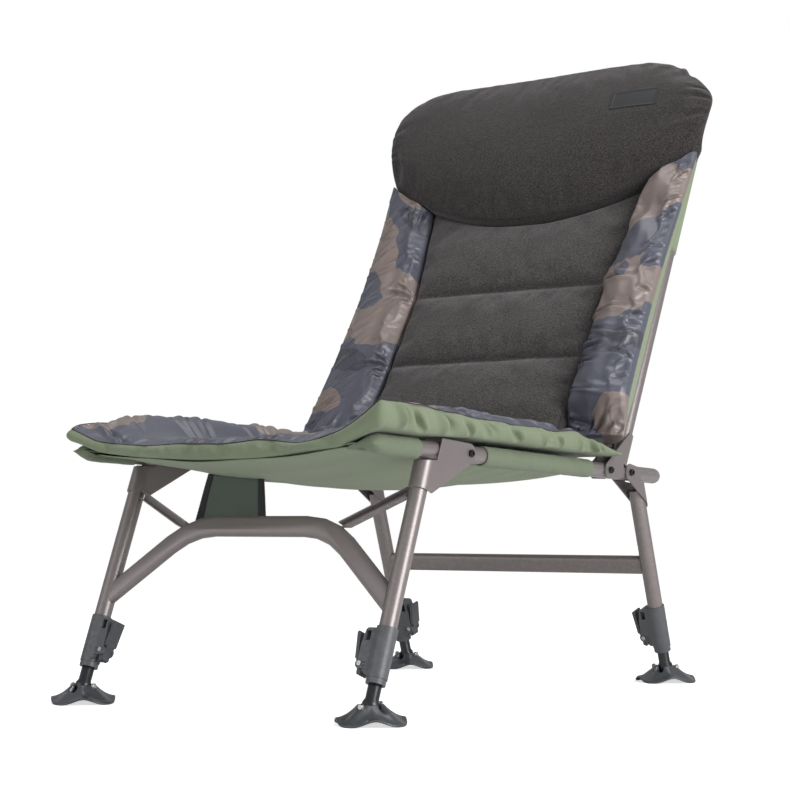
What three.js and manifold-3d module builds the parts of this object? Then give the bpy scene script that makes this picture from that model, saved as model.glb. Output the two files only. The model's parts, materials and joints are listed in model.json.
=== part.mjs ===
// A folding carp fishing chair: two seat rails with a slung cloth and a mattress pad, a padded back on a
// bent tube, a front and a rear pair of folding legs, and on each leg a cam clamp, a telescopic foot leg and
// a mud foot.
// Millimetres, +Z up. The front faces -Y. Left is -X and right is +X, as seen from the front.
// Pieces are placed from a working point on the floor, and the whole is then moved to centre it.
import * as THREE from 'three';
import { mergeVertices } from 'three/addons/utils/BufferGeometryUtils.js';
import Module from 'manifold-3d';

const wasm = await Module();
wasm.setup();

// Stock and clearances
const tubeDiameter = 24;
const tubeWall = 1.6;
const flatTubeHeight = 30;
const flatTubeDepth = 15;
const flatTubeWall = 1.5;
const plateThickness = 2;
const seatGap = 0.3; // left between two pieces that touch
const plateGap = 0.4; // between a tube and the bracket plates beside it
const overrun = 4; // how far a cutter passes what it cuts
const weldTolerance = 0.0005;

const frameMiddle = 173; // the middle of the whole chair, behind the working point

// Seat rails: the axis falls gently towards the rear
const seatSpan = 504; // between the rail axes
const railHeight = 343.3; // of the axis where y is zero
const railFallAngle = 2.2;
const railFrontReach = 275;
const railTailLength = 96; // of the rail, past the rear bolt
const plugDomeLength = 11;
const plugStemLength = 14;

// Pivot bolts
const frontBoltReach = 73; // in front of the working point
const backBoltReach = 308; // behind the working point
const rearBoltSpacing = 64; // from the back's bolt to the rear legs' bolt
const boltDiameter = 6;
const boltHoleDiameter = 7;
const boltHeadDiameter = 10.4;
const boltHeadHeight = 4.6;
const boltSocketSize = 4.6;
const boltSocketDepth = 2.6;
const nutSize = 11;
const nutHeight = 5;

// Legs: the axis of each leg tube leans from the pivot of its foot
const footPivotHeight = 24;
const frontFootReach = 280;
const frontLegSetback = 82.7; // of the leg axis at rail height, in front of its bolt
const rearFootReach = 505;
const rearLegSetback = 33.3; // of the leg axis at rail height, behind its bolt
const legPlugThickness = 3;
const legPlugStem = 9;
const rearLegGap = 8; // between the rear leg tube and the rail over it

// Sheet steel brackets
const noseRadius = 13.5;
const frontCollarLength = 37;
const frontPlateRise = 4; // over the top of the rail
const frontPlateReach = 66; // from the bolt to the front edge of the plate
const frontNotchSlant = 12;
const rearWebLength = 40;
const rearPlateReach = 30;
const rearPlateRise = 9;
const backWebReach = 62; // from the rail up the back tube
const backPlateReach = 42;
const backPlateChamfer = 9;
const backPlateDrop = 11;

// Front arch, braces and rear crossbar
const archHeight = 240; // of the middle of the arch bar, up the leg from the foot pivot
const archKneeInset = 129; // from the rail axis in to where the bar's two lines meet
const archDropAngle = 40;
const archBendRadius = 120;
const braceWidth = 12;
const braceDepth = 10;
const braceWall = 2;
const braceInset = 113; // from the rail axis in to the brace's end on the arch
const braceTopDrop = 33; // from the top of the leg tube down to the brace's outer end
const crossbarHeight = 170; // up the rear leg from the foot pivot

// Backrest frame, cloth and pads: reach is from the pivot line, height is up the slope of the back
const backLineSetback = 42.8; // of the back tube's line at the height of its bolt, behind it
const backLeanAngle = 26.3;
const backFrameHeight = 702;
const backBendRadius = 84;
const clothThickness = 1.6;
const backClothFoot = 46;
const backSleeveFoot = 398;
const padFootHeight = 25;
const channelOneHeight = 168;
const channelTwoHeight = 309;
const padFootProud = 88;
const padHeadProud = 46;
const padCrown = 11;
const padHollow = 30; // how far the rear face of the pad comes forward at its foot
const padHollowHeight = 120;
const centreInset = 65; // of the centre pad's side seam, inside the rail axis
const centreFlare = 18;
const wingOverhang = 54; // of its front, past the rail axis
const wingRearOverhang = 2; // of its rear face
const wingCrown = 27;
const wingPuckerDepth = 1.6;
const padSeamGap = 1;

// Head pillow and its sewn patch
const bowLowHeight = 450;
const bowRise = 122;
const pillowTopHeight = 752;
const pillowOverhang = 74; // past the rail axis
const pillowProud = 94;
const pillowEdgeProud = 40;
const patchWidth = 88;
const patchHeight = 35;
const patchThickness = 1.2;
const patchInset = 71; // of its middle, inside the right rail axis
const patchLevel = 647; // up the slope of the back

// Seat cloth, pad and flap
const slingFrontReach = 283;
const slingRearInset = 46; // from the back's bolt forward to the cloth's rear edge
const slingSag = 36;
const slingDrop = 4;
const slingCreaseDepth = 1.5;
const slingDrawIn = 14; // of its edge past the front bolts
const frontSleeveEnd = 184;
const rearSleeveStart = 28;
const padOverhang = 32; // past the rail axis
const padFrontReach = 300;
const padRearOverhang = 4; // past the back's bolt
const padThickness = 31;
const padSideRise = 16.5; // of the pad's underside over the rail axis at its sides
const padSideCrown = 9;
const padLeftCurl = 4; // how far the front corners rise
const padRightCurl = 26;
const padTuftDepth = 4;
const padSettle = 1.5; // between the pad and the slung cloth
const padBolster = 50; // how far in from the rail axis the side bolster is full
const flapWidth = 104;
const flapCentreReach = 86; // to the left of the middle
const flapBottomHeight = 244;
const flapSwing = 6;

// Cam clamps: heights are up the leg from the foot pivot, reaches are towards the middle of the chair
const clampWall = 2.2;
const clampBottom = 34.5;
const clampTop = 102;
const clampRingBottom = 27;
const clampRingWall = 4.2;
const legSeatHeight = 50;
const housingReach = 28;
const housingTopReach = 25;
const housingWidth = 22;
const housingTop = 99;
const housingFoot = 38;
const leverPinHeight = 51;
const leverPinReach = 24;
const leverBossRadius = 6.8;
const leverSlotWidth = 15;
const leverSlotTop = 78;
const windowBottom = 82;
const windowTop = 95;
const windowInnerReach = 15.4;
const windowOuterReach = 23;
const ribSlotLength = 5;
const ribSlotHeight = 1.7;
const ribSlotDepth = 1.2;
const ribSlotPitch = 4.4;
const ribSlotReach = 14.5;
const ribSlotFirstHeight = 43;
const ribSlotCount = 3;

// Cam levers and their pins
const leverTop = 92;
const leverThickness = 5;
const leverLift = 5; // how far the lever's top stands off the housing
const leverWidth = 20;
const leverKnuckleRadius = 5.6;
const leverTailDrop = 15;
const leverPinDiameter = 4;
const leverPinHeadDiameter = 7;
const leverPinHeadHeight = 1.4;

// Telescopic foot legs
const extensionDiameter = 18;
const extensionWall = 1.5;
const extensionLength = 200;
const ballDiameter = 24;

// Mud feet and their cross pins
const footRadius = 50;
const footRimHeight = 9;
const footRimWidth = 5;
const footShell = 3;
const footCrownRadius = 16.5;
const footCrownHeight = 2; // over the pivot
const footStep = 2; // down from the crown to the faces
const footDip = 4.5; // of the faces between the lobes
const footNotch = 3.5; // how far the outline draws in between the lobes
const footArchWidth = 34;
const footArchHeight = 7;
const socketSlotWidth = 12.6;
const socketSlotDepth = 9;
const footPinDiameter = 5;
const footPinReach = 19;
const footNutSize = 8.6;
const footNutHeight = 4;
const footPocketRadius = 6.2;

// Facets round the forms
const tubeFacets = 16;
const boltFacets = 8;
const hexFacets = 6;
const footFacets = 24;

const halfSpan = seatSpan / 2;
const tubeRadius = tubeDiameter / 2;
const plateInner = tubeRadius + plateGap;
const plateOuter = plateInner + plateThickness;
const rad = THREE.MathUtils.degToRad;
const rearBoltReach = backBoltReach + rearBoltSpacing;
const railRearReach = rearBoltReach + railTailLength;
const slingRearReach = backBoltReach - slingRearInset;
const padRearReach = backBoltReach + padRearOverhang;
const frontLeanAngle = legLean(frontFootReach, frontBoltReach + frontLegSetback, railAxis(-frontBoltReach));
const rearLeanAngle = legLean(rearFootReach, rearBoltReach + rearLegSetback, railAxis(rearBoltReach));
const archKneeReach = halfSpan - archKneeInset;
const braceInnerReach = halfSpan - braceInset;
const centreHalfWidth = halfSpan - centreInset;
const wingHalfWidth = halfSpan + wingOverhang;
const wingRearHalfWidth = halfSpan + wingRearOverhang;
const pillowHalfWidth = halfSpan + pillowOverhang;
const patchReach = halfSpan - patchInset;
const padHalfWidth = halfSpan + padOverhang;

const steel = material(0x8f8382, 0.5, 0.35);
const plastic = material(0x34373b, 0.55, 0);
const blackPlastic = material(0x17181b, 0.45, 0);
const blackMetal = material(0x1c1d20, 0.35, 0.6);
const brightMetal = material(0xc8c8c6, 0.3, 0.9);
const sageCloth = material(0x7d8b6a, 0.85, 0);
const darkCloth = material(0x44544a, 0.8, 0);
const camouflage = material(0x4b4a50, 0.6, 0);
const fleece = material(0x373335, 0.95, 0);
const label = material(0x101113, 0.5, 0);

function material(color, roughness, metalness) {
  return new THREE.MeshStandardMaterial({ color, roughness, metalness });
}

/** Lean of a leg whose foot and whose axis at rail height stand at these reaches from the working point. */
function legLean(footReach, topReach, topHeight) {
  return THREE.MathUtils.radToDeg(Math.atan2(footReach - topReach, topHeight - footPivotHeight));
}

/** Height of the rail axis at a place y. */
function railAxis(y) {
  return railHeight - y * Math.tan(rad(railFallAngle));
}

/** Welds a geometry into one closed indexed mesh whose faces point out. */
function weld(geometry) {
  const plain = geometry.clone();
  plain.deleteAttribute('normal');
  plain.deleteAttribute('uv');
  const merged = mergeVertices(plain, weldTolerance);
  const corners = merged.index.array;
  const kept = [];
  for (let i = 0; i < corners.length; i += 3) {
    const [a, b, c] = [corners[i], corners[i + 1], corners[i + 2]];
    if (a !== b && b !== c && c !== a) kept.push(a, b, c);
  }
  merged.setIndex(kept);
  if (volume(merged) < 0) turnOver(merged);
  return merged;
}

/** Six times the signed volume of an indexed mesh. */
function volume(geometry) {
  const places = geometry.attributes.position;
  const corners = geometry.index.array;
  const [a, b, c] = [new THREE.Vector3(), new THREE.Vector3(), new THREE.Vector3()];
  let sum = 0;
  for (let i = 0; i < corners.length; i += 3) {
    a.fromBufferAttribute(places, corners[i]);
    b.fromBufferAttribute(places, corners[i + 1]);
    c.fromBufferAttribute(places, corners[i + 2]);
    sum += a.dot(b.cross(c));
  }
  return sum;
}

function turnOver(geometry) {
  const corners = Array.from(geometry.index.array);
  for (let i = 0; i < corners.length; i += 3) {
    [corners[i], corners[i + 1]] = [corners[i + 1], corners[i]];
  }
  geometry.setIndex(corners);
}

function toSolid(geometry) {
  const welded = weld(geometry);
  return new wasm.Manifold(new wasm.Mesh({
    numProp: 3,
    vertProperties: new Float32Array(welded.attributes.position.array),
    triVerts: new Uint32Array(welded.index.array),
  }));
}

function toGeometry(solid) {
  const mesh = solid.getMesh();
  const geometry = new THREE.BufferGeometry();
  geometry.setAttribute('position', new THREE.BufferAttribute(new Float32Array(mesh.vertProperties), 3));
  geometry.setIndex(Array.from(mesh.triVerts));
  return geometry;
}

function cut(body, ...cutters) {
  return toGeometry(cutters.reduce((solid, cutter) => solid.subtract(toSolid(cutter)), toSolid(body)));
}

function join(...bodies) {
  const [first, ...others] = bodies.map(toSolid);
  return toGeometry(others.reduce((solid, other) => solid.add(other), first));
}

function overlapOf(first, second) {
  return toGeometry(toSolid(first).intersect(toSolid(second)));
}

/** A revolved form about Z from [radius, height] pairs; a profile off the axis closes on itself. */
function turned(profile, facets) {
  const points = profile.map(([radius, height]) => new THREE.Vector2(radius, height));
  if (profile[0][0] > 0) points.push(points[0].clone());
  return weld(new THREE.LatheGeometry(points, facets).rotateX(Math.PI / 2));
}

function rod(radius, start, end, facets = tubeFacets) {
  return turned([[0, start], [radius, start], [radius, end], [0, end]], facets);
}

function pipe(outer, inner, start, end, facets = tubeFacets) {
  return turned([[inner, start], [outer, start], [outer, end], [inner, end]], facets);
}

function hexRod(acrossFlats, start, end) {
  return rod(acrossFlats / Math.sqrt(3), start, end, hexFacets);
}

/** A shape in (x, y) raised along Z. */
function prism(shape, start, end, curveSegments = 6) {
  const form = new THREE.ExtrudeGeometry(shape, { depth: end - start, bevelEnabled: false, curveSegments });
  return weld(form.translate(0, 0, start));
}

/** A shape in (y, z) swept across X, equally to both sides of zero. */
function sidePrism(shape, width, curveSegments = 6) {
  const toSide = new THREE.Matrix4().makeBasis(
    new THREE.Vector3(0, 1, 0), new THREE.Vector3(0, 0, 1), new THREE.Vector3(1, 0, 0));
  return prism(shape, -width / 2, width / 2, curveSegments).applyMatrix4(toSide);
}

/** A shape in (x, z) swept along Y, equally to both sides of zero. */
function depthPrism(shape, width, curveSegments = 6) {
  return prism(shape, -width / 2, width / 2, curveSegments).rotateX(Math.PI / 2);
}

function mirrored(geometry) {
  const copy = geometry.clone().scale(-1, 1, 1);
  turnOver(copy);
  return copy;
}

/** The right-hand form as built, or its mirror image for the left. */
function handed(geometry, side) {
  return side > 0 ? geometry : mirrored(geometry);
}

function polygon(points) {
  return new THREE.Shape(points.map(([x, y]) => new THREE.Vector2(x, y)));
}

/** A place in the (y, z) plane from its position across and along an axis that leans from a base. */
function leaning([baseY, baseZ], leanAngle, across, along) {
  const lean = rad(leanAngle);
  return [
    baseY + along * Math.sin(lean) + across * Math.cos(lean),
    baseZ + along * Math.cos(lean) - across * Math.sin(lean),
  ];
}

/** A path through hand-set knots that keeps each knot as one step of the sweep. */
class KnotPath extends THREE.Curve {
  constructor(knots) {
    super();
    this.knots = knots;
  }

  getPoint(t, target = new THREE.Vector3()) {
    const place = t * (this.knots.length - 1);
    const before = Math.min(Math.floor(place + 1e-9), this.knots.length - 2);
    return target.lerpVectors(this.knots[before], this.knots[before + 1], place - before);
  }

  getUtoTmapping(u) {
    return u;
  }

  getTangent(t, target = new THREE.Vector3()) {
    const last = this.knots.length - 1;
    const knot = Math.round(t * last);
    const before = this.knots[Math.max(knot - 1, 0)];
    const after = this.knots[Math.min(knot + 1, last)];
    const here = this.knots[knot];
    const arriving = knot > 0 ? here.clone().sub(before).normalize() : new THREE.Vector3();
    const leaving = knot < last ? after.clone().sub(here).normalize() : new THREE.Vector3();
    return target.copy(arriving.add(leaving)).normalize();
  }
}

/** Knots of a path in the XZ plane whose corners are rounded to a radius. */
function roundedPath(corners, radius, steps) {
  const places = corners.map(([x, z]) => new THREE.Vector3(x, 0, z));
  const knots = [places[0]];
  for (let i = 1; i < places.length - 1; i += 1) {
    const arriving = places[i].clone().sub(places[i - 1]).normalize();
    const leaving = places[i + 1].clone().sub(places[i]).normalize();
    const turn = arriving.angleTo(leaving);
    const tangent = radius * Math.tan(turn / 2);
    const start = places[i].clone().addScaledVector(arriving, -tangent);
    const inward = leaving.clone().addScaledVector(arriving, -arriving.dot(leaving)).normalize();
    for (let step = 0; step <= steps; step += 1) {
      const angle = (turn * step) / steps;
      knots.push(start.clone()
        .addScaledVector(arriving, radius * Math.sin(angle))
        .addScaledVector(inward, radius * (1 - Math.cos(angle))));
    }
  }
  knots.push(places[places.length - 1]);
  return new KnotPath(knots);
}

function sweep(shape, path, curveSegments) {
  const options = { steps: path.knots.length - 1, extrudePath: path, curveSegments };
  return weld(new THREE.ExtrudeGeometry(shape, options));
}

function circleShape(radius, boreRadius) {
  const shape = new THREE.Shape().absarc(0, 0, radius, 0, Math.PI * 2);
  if (boreRadius) shape.holes.push(new THREE.Path().absarc(0, 0, boreRadius, 0, Math.PI * 2, true));
  return shape;
}

function ovalPath(PathClass, depth, height) {
  const end = depth / 2;
  const straight = height / 2 - end;
  return new PathClass()
    .moveTo(end, -straight)
    .lineTo(end, straight)
    .absarc(0, straight, end, 0, Math.PI)
    .lineTo(-end, -straight)
    .absarc(0, -straight, end, Math.PI, Math.PI * 2);
}

/** Section of the flat-oval tube: its depth lies along x and its height along y. */
function flatTubeShape() {
  const shape = ovalPath(THREE.Shape, flatTubeDepth, flatTubeHeight);
  shape.holes.push(ovalPath(THREE.Path, flatTubeDepth - 2 * flatTubeWall, flatTubeHeight - 2 * flatTubeWall));
  return shape;
}

/**
 * A closed soft form between a front and a rear skin over (u, v) from 0 to 1, with a rim loop between them.
 */
function cushion(acrossSteps, alongSteps, frontSkin, rearSkin, rim) {
  const places = [];
  const faces = [];
  const row = acrossSteps + 1;
  for (const skin of [frontSkin, rearSkin]) {
    for (let j = 0; j <= alongSteps; j += 1) {
      for (let i = 0; i <= acrossSteps; i += 1) places.push(skin(i / acrossSteps, j / alongSteps));
    }
  }
  const rearStart = row * (alongSteps + 1);
  for (let j = 0; j < alongSteps; j += 1) {
    for (let i = 0; i < acrossSteps; i += 1) {
      const a = j * row + i;
      const quad = [a, a + 1, a + row + 1, a + row];
      const rearQuad = quad.map((corner) => corner + rearStart).reverse();
      for (const [p, q, r, s] of [quad, rearQuad]) faces.push(p, q, r, p, r, s);
    }
  }
  const loop = [];
  for (let i = 0; i < acrossSteps; i += 1) loop.push([i, 0]);
  for (let j = 0; j < alongSteps; j += 1) loop.push([acrossSteps, j]);
  for (let i = acrossSteps; i > 0; i -= 1) loop.push([i, alongSteps]);
  for (let j = alongSteps; j > 0; j -= 1) loop.push([0, j]);
  const rimStart = places.length;
  for (const [i, j] of loop) places.push(rim(i / acrossSteps, j / alongSteps));
  loop.forEach(([i, j], k) => {
    const next = (k + 1) % loop.length;
    const [ni, nj] = loop[next];
    const front = [j * row + i, nj * row + ni];
    const middle = [rimStart + k, rimStart + next];
    const rear = front.map((corner) => corner + rearStart);
    for (const [top, low] of [[front, middle], [middle, rear]]) {
      faces.push(top[0], low[0], low[1], top[0], low[1], top[1]);
    }
  });
  const geometry = new THREE.BufferGeometry();
  geometry.setAttribute('position', new THREE.Float32BufferAttribute(places.flatMap((p) => p.toArray()), 3));
  geometry.setIndex(faces);
  return weld(geometry);
}

const chair = new THREE.Group();

function addPiece(name, geometry, look, parent = chair) {
  const mesh = new THREE.Mesh(geometry, look);
  mesh.name = name;
  parent.add(mesh);
  return mesh;
}

const sides = [['left', -1], ['right', 1]];

/** Distance along the rail from its middle frame to a place y. */
function alongRail(y) {
  return y / Math.cos(rad(railFallAngle));
}

function boltCutter(y) {
  return rod(boltHoleDiameter / 2, -plateOuter - overrun, plateOuter + overrun, boltFacets)
    .rotateY(Math.PI / 2)
    .translate(0, y, railAxis(y));
}

/** Moves a form that runs along Z onto the rail axis, in the chair's own (y, z). */
function ontoRail(geometry) {
  return geometry.rotateX(-Math.PI / 2 - rad(railFallAngle)).translate(0, 0, railHeight);
}

function seatRail() {
  const bolts = [-frontBoltReach, backBoltReach, rearBoltReach].map(boltCutter);
  const bar = pipe(tubeRadius, tubeRadius - tubeWall, alongRail(-railFrontReach), alongRail(railRearReach));
  return cut(ontoRail(bar), ...bolts);
}

function domedPlug() {
  const stem = tubeRadius - tubeWall - seatGap;
  const profile = [[0, -plugStemLength], [stem, -plugStemLength], [stem, seatGap]];
  const steps = 3;
  for (let step = 0; step <= steps; step += 1) {
    const angle = (Math.PI / 2) * (step / steps);
    const radius = step === steps ? 0 : tubeRadius * Math.cos(angle);
    profile.push([radius, seatGap + plugDomeLength * Math.sin(angle)]);
  }
  return turned(profile, tubeFacets);
}

function pivotBolt() {
  const gripEnd = plateOuter + seatGap;
  const threadEnd = gripEnd + nutHeight + boltDiameter / 4;
  const shank = rod(boltDiameter / 2, -threadEnd, gripEnd + boltHeadHeight / 2, boltFacets);
  const crown = boltHeadDiameter / 2;
  const head = turned([
    [0, gripEnd], [crown, gripEnd], [crown, gripEnd + boltHeadHeight * 0.7],
    [crown * 0.8, gripEnd + boltHeadHeight], [0, gripEnd + boltHeadHeight],
  ], boltFacets);
  const nut = hexRod(nutSize, -gripEnd - nutHeight, -gripEnd);
  const headEnd = gripEnd + boltHeadHeight;
  const socket = hexRod(boltSocketSize, headEnd - boltSocketDepth, headEnd + overrun);
  return cut(join(shank, head, nut), socket).rotateY(Math.PI / 2);
}

/**
 * A bracket folded from one sheet: it wraps one side of a leaning tube, and its two plates reach past it to a
 * bolt. webSide is -1 where the wrap is in front of the tube and 1 where it is behind.
 */
function foldedBracket(base, lean, webSide, reach, outline, boltY) {
  const section = new THREE.Shape()
    .moveTo(plateInner, reach)
    .lineTo(plateOuter, reach)
    .lineTo(plateOuter, 0)
    .absarc(0, 0, plateOuter, 0, -Math.PI, true)
    .lineTo(-plateOuter, reach)
    .lineTo(-plateInner, reach)
    .lineTo(-plateInner, 0)
    .absarc(0, 0, plateInner, -Math.PI, 0, false);
  const corners = outline.extractPoints(3).shape;
  const alongs = corners.map((corner) => {
    const [y, z] = [corner.x - base[0], corner.y - base[1]];
    return y * Math.sin(rad(lean)) + z * Math.cos(rad(lean));
  });
  const wrap = prism(section, Math.min(...alongs) - overrun, Math.max(...alongs) + overrun, 4);
  if (webSide > 0) wrap.rotateZ(Math.PI);
  wrap.rotateX(-rad(lean)).translate(0, base[0], base[1]);
  const plates = overlapOf(wrap, sidePrism(outline, 2 * (plateOuter + overrun), 3));
  const frontEnd = alongRail(-railFrontReach - overrun);
  const rearEnd = alongRail(railRearReach + overrun);
  const railRoom = rod(tubeRadius + seatGap, frontEnd, rearEnd);
  return cut(plates, ontoRail(railRoom), boltCutter(boltY));
}

const frontFoot = [-frontFootReach, footPivotHeight];
const rearFoot = [rearFootReach, footPivotHeight];

/** How far up a leaning leg its square-cut tube may reach below the rail, with a gap left over. */
function legReach(foot, lean, gap) {
  const fromRail = (railAxis(foot[0]) - foot[1]) * Math.cos(rad(railFallAngle));
  const slope = rad(Math.abs(lean - railFallAngle));
  return (fromRail - tubeRadius - tubeRadius * Math.sin(slope) - gap) / Math.cos(slope);
}

const frontLegTop = legReach(frontFoot, frontLeanAngle, 2 * seatGap + legPlugThickness);
const rearLegTop = legReach(rearFoot, -rearLeanAngle, rearLegGap);
const sleeveInner = tubeRadius + seatGap;
const sleeveOuter = sleeveInner + clothThickness;
const padRearFace = sleeveOuter + 2 * seatGap;

function frontBracketOutline() {
  const bolt = [-frontBoltReach, railAxis(-frontBoltReach)];
  const plateFront = -frontBoltReach - frontPlateReach;
  const wrapEdge = -plateOuter - overrun;
  const collarTop = leaning(frontFoot, frontLeanAngle, wrapEdge, frontLegTop);
  collarTop[1] = railAxis(collarTop[0]) - sleeveOuter - seatGap;
  const notchY = plateFront - frontNotchSlant;
  const shape = new THREE.Shape();
  shape.absarc(bolt[0], bolt[1], noseRadius, -Math.PI / 3, Math.PI / 2);
  shape.lineTo(plateFront, railAxis(plateFront) + tubeRadius + frontPlateRise);
  shape.lineTo(notchY, railAxis(notchY) - sleeveOuter - seatGap);
  shape.lineTo(...collarTop);
  shape.lineTo(...leaning(frontFoot, frontLeanAngle, wrapEdge, frontLegTop - frontCollarLength));
  shape.lineTo(...leaning(frontFoot, frontLeanAngle, tubeRadius, frontLegTop - frontCollarLength));
  return shape;
}

function rearBracketOutline() {
  const bolt = [rearBoltReach, railAxis(rearBoltReach)];
  const wrapEdge = plateOuter + overrun;
  const plateRear = rearBoltReach + rearPlateReach;
  const shape = new THREE.Shape();
  shape.absarc(bolt[0], bolt[1], noseRadius, Math.PI * 0.55, Math.PI * 1.25);
  shape.lineTo(...leaning(rearFoot, -rearLeanAngle, wrapEdge, rearLegTop - rearWebLength));
  shape.lineTo(...leaning(rearFoot, -rearLeanAngle, wrapEdge, rearLegTop + rearLegGap / 2));
  shape.lineTo(plateRear, railAxis(plateRear) - tubeRadius - seatGap);
  shape.lineTo(plateRear, railAxis(plateRear) + rearPlateRise);
  return shape;
}

const backBase = [backBoltReach + backLineSetback, railAxis(backBoltReach)];

function backBracketOutline() {
  const bolt = [backBoltReach, railAxis(backBoltReach)];
  const wrapEdge = plateOuter + overrun;
  const plateRear = backBoltReach + backPlateReach;
  const shape = new THREE.Shape();
  shape.absarc(bolt[0], bolt[1], noseRadius, Math.PI * 1.4, Math.PI * 0.68, true);
  shape.lineTo(...leaning(backBase, backLeanAngle, -tubeRadius * 0.6, backWebReach));
  shape.lineTo(...leaning(backBase, backLeanAngle, wrapEdge, backWebReach));
  shape.lineTo(...leaning(backBase, backLeanAngle, wrapEdge, tubeRadius));
  shape.lineTo(plateRear, railAxis(plateRear) + tubeRadius);
  shape.lineTo(plateRear, railAxis(plateRear));
  shape.lineTo(plateRear - backPlateChamfer, railAxis(plateRear) - backPlateDrop);
  return shape;
}

/** Sag of the slung cloth under the rail axis, with its cross creases. */
function slingSurface(x, y) {
  const along = (y + slingFrontReach) / (slingFrontReach + slingRearReach);
  const across = x / slingHalfWidth;
  const depthShare = 0.3 + 0.7 * Math.sin(Math.PI * (0.06 + 0.84 * along));
  const hollowShare = 1 - across * across;
  const creaseShare = Math.sin(Math.PI * 5 * along + 2.4 * across * across) * hollowShare;
  return railAxis(y) - slingDrop - slingSag * depthShare * hollowShare + slingCreaseDepth * creaseShare;
}

const slingHalfWidth = halfSpan - (sleeveInner + sleeveOuter) / 2;
const slingRows = 12;

function seatSling() {
  const place = (u, v, lift) => {
    const y = -slingFrontReach + v * (slingFrontReach + slingRearReach);
    const betweenSleeves = y > -frontSleeveEnd && y < -rearSleeveStart;
    const x = (2 * u - 1) * (slingHalfWidth - (betweenSleeves ? slingDrawIn : 0));
    return new THREE.Vector3(x, y, slingSurface(x, y) + lift);
  };
  const web = cushion(10, slingRows,
    (u, v) => place(u, v, clothThickness),
    (u, v) => place(u, v, 0),
    (u, v) => place(u, v, clothThickness / 2));
  const sleeves = [];
  for (const [, side] of sides) {
    const frontEnd = alongRail(-railFrontReach) - seatGap;
    const frontSleeve = turned([
      [0, frontEnd - clothThickness], [sleeveOuter, frontEnd - clothThickness],
      [sleeveOuter, alongRail(-frontSleeveEnd)], [sleeveInner, alongRail(-frontSleeveEnd)],
      [sleeveInner, frontEnd], [0, frontEnd],
    ], tubeFacets);
    const rearSleeve = pipe(sleeveOuter, sleeveInner, alongRail(-rearSleeveStart), alongRail(slingRearReach));
    for (const sleeve of [frontSleeve, rearSleeve]) {
      sleeves.push(ontoRail(sleeve).translate(side * halfSpan, 0, 0));
    }
  }
  return join(web, ...sleeves);
}

/** Underside and top of the seat mattress. */
function mattressHeights(x, y, u, v) {
  const half = Math.abs(x);
  const inner = slingHalfWidth - padBolster / 2;
  const ease = THREE.MathUtils.smoothstep(half, inner - padBolster, inner);
  const overCloth = THREE.MathUtils.clamp(x, -slingHalfWidth, slingHalfWidth);
  const rested = slingSurface(overCloth, y) + clothThickness + padSettle;
  const low = THREE.MathUtils.lerp(Math.max(rested, railAxis(y) - slingSag), railAxis(y) + padSideRise, ease);
  const edge = Math.min(1, 5 * Math.min(u, 1 - u, v, 1 - v));
  const crown = 0.72 + 0.28 * Math.sin((Math.PI / 2) * edge);
  const bolster = padSideCrown * Math.exp(-(((half - inner) / padBolster) ** 2));
  const tufts = padTuftDepth * Math.abs(Math.sin(Math.PI * 4 * v)) * edge;
  const curl = x < 0 ? padLeftCurl : padRightCurl;
  const corner = curl * (1 - v) ** 6 * (half / padHalfWidth) ** 4;
  const rearEase = 1 - 0.42 * v ** 6;
  return [low + corner, low + corner + (padThickness * crown + tufts + bolster) * rearEase];
}

function seatMattress() {
  const place = (u, v, layer, inset) => {
    const front = -padFrontReach;
    const reach = padFrontReach + padRearReach;
    const drawnIn = 1 - 0.02 * Math.sin(Math.PI * v);
    const x = (2 * u - 1) * padHalfWidth * drawnIn * inset;
    const y = front + reach / 2 + (v - 0.5) * reach * inset * (1 - 0.012 * Math.sin(Math.PI * u));
    const [low, high] = mattressHeights(x, y, u, v);
    return new THREE.Vector3(x, y, THREE.MathUtils.lerp(low, high, layer));
  };
  return cushion(14, 16,
    (u, v) => place(u, v, 1, 0.985), (u, v) => place(u, v, 0, 0.98), (u, v) => place(u, v, 0.5, 1));
}

function hangingFlap() {
  const place = (u, v, lift) => {
    const x = -flapCentreReach + (u - 0.5) * flapWidth * (1 + 0.12 * (1 - v)) - flapSwing * (1 - v);
    const swing = flapSwing * Math.sin(Math.PI * 2 * u) * (1 - v) * 0.5;
    const row = -slingFrontReach + (3 / slingRows) * (slingFrontReach + slingRearReach);
    const y = row + swing + lift;
    const top = slingSurface(x, y) - seatGap;
    return new THREE.Vector3(x, y, THREE.MathUtils.lerp(flapBottomHeight, top, v));
  };
  return cushion(8, 6,
    (u, v) => place(u, v, 0),
    (u, v) => place(u, v, clothThickness),
    (u, v) => place(u, v, clothThickness / 2));
}

function buildSeat() {
  addPiece('seat_sling', seatSling(), sageCloth);
  addPiece('seat_pad', seatMattress(), camouflage);
  addPiece('seat_flap', hangingFlap(), darkCloth);
  for (const [word, side] of sides) {
    const at = (geometry) => handed(geometry, side).translate(side * halfSpan, 0, 0);
    addPiece(`seat_rail_${word}`, at(seatRail()), steel);
    const plug = ontoRail(domedPlug().translate(0, 0, alongRail(railRearReach)));
    addPiece(`rail_plug_${word}`, at(plug), steel);
    const bolts = { front: -frontBoltReach, back: backBoltReach, rear: rearBoltReach };
    for (const [place, y] of Object.entries(bolts)) {
      addPiece(`${place}_bolt_${word}`, at(pivotBolt()).translate(0, y, railAxis(y)), blackMetal);
    }
  }
}

/** A group whose Z runs up a leaning axis from its base. */
function leaningFrame(x, base, lean) {
  const frame = new THREE.Group();
  frame.position.set(x, base[0], base[1]);
  frame.rotation.x = -rad(lean);
  chair.add(frame);
  return frame;
}

/** Cutters that leave the gap round the two leg tubes of a pair. */
function legRoom(top) {
  const room = rod(tubeRadius + seatGap, 0, top, tubeFacets);
  return sides.map(([, side]) => room.clone().translate(side * halfSpan, 0, 0));
}

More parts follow.
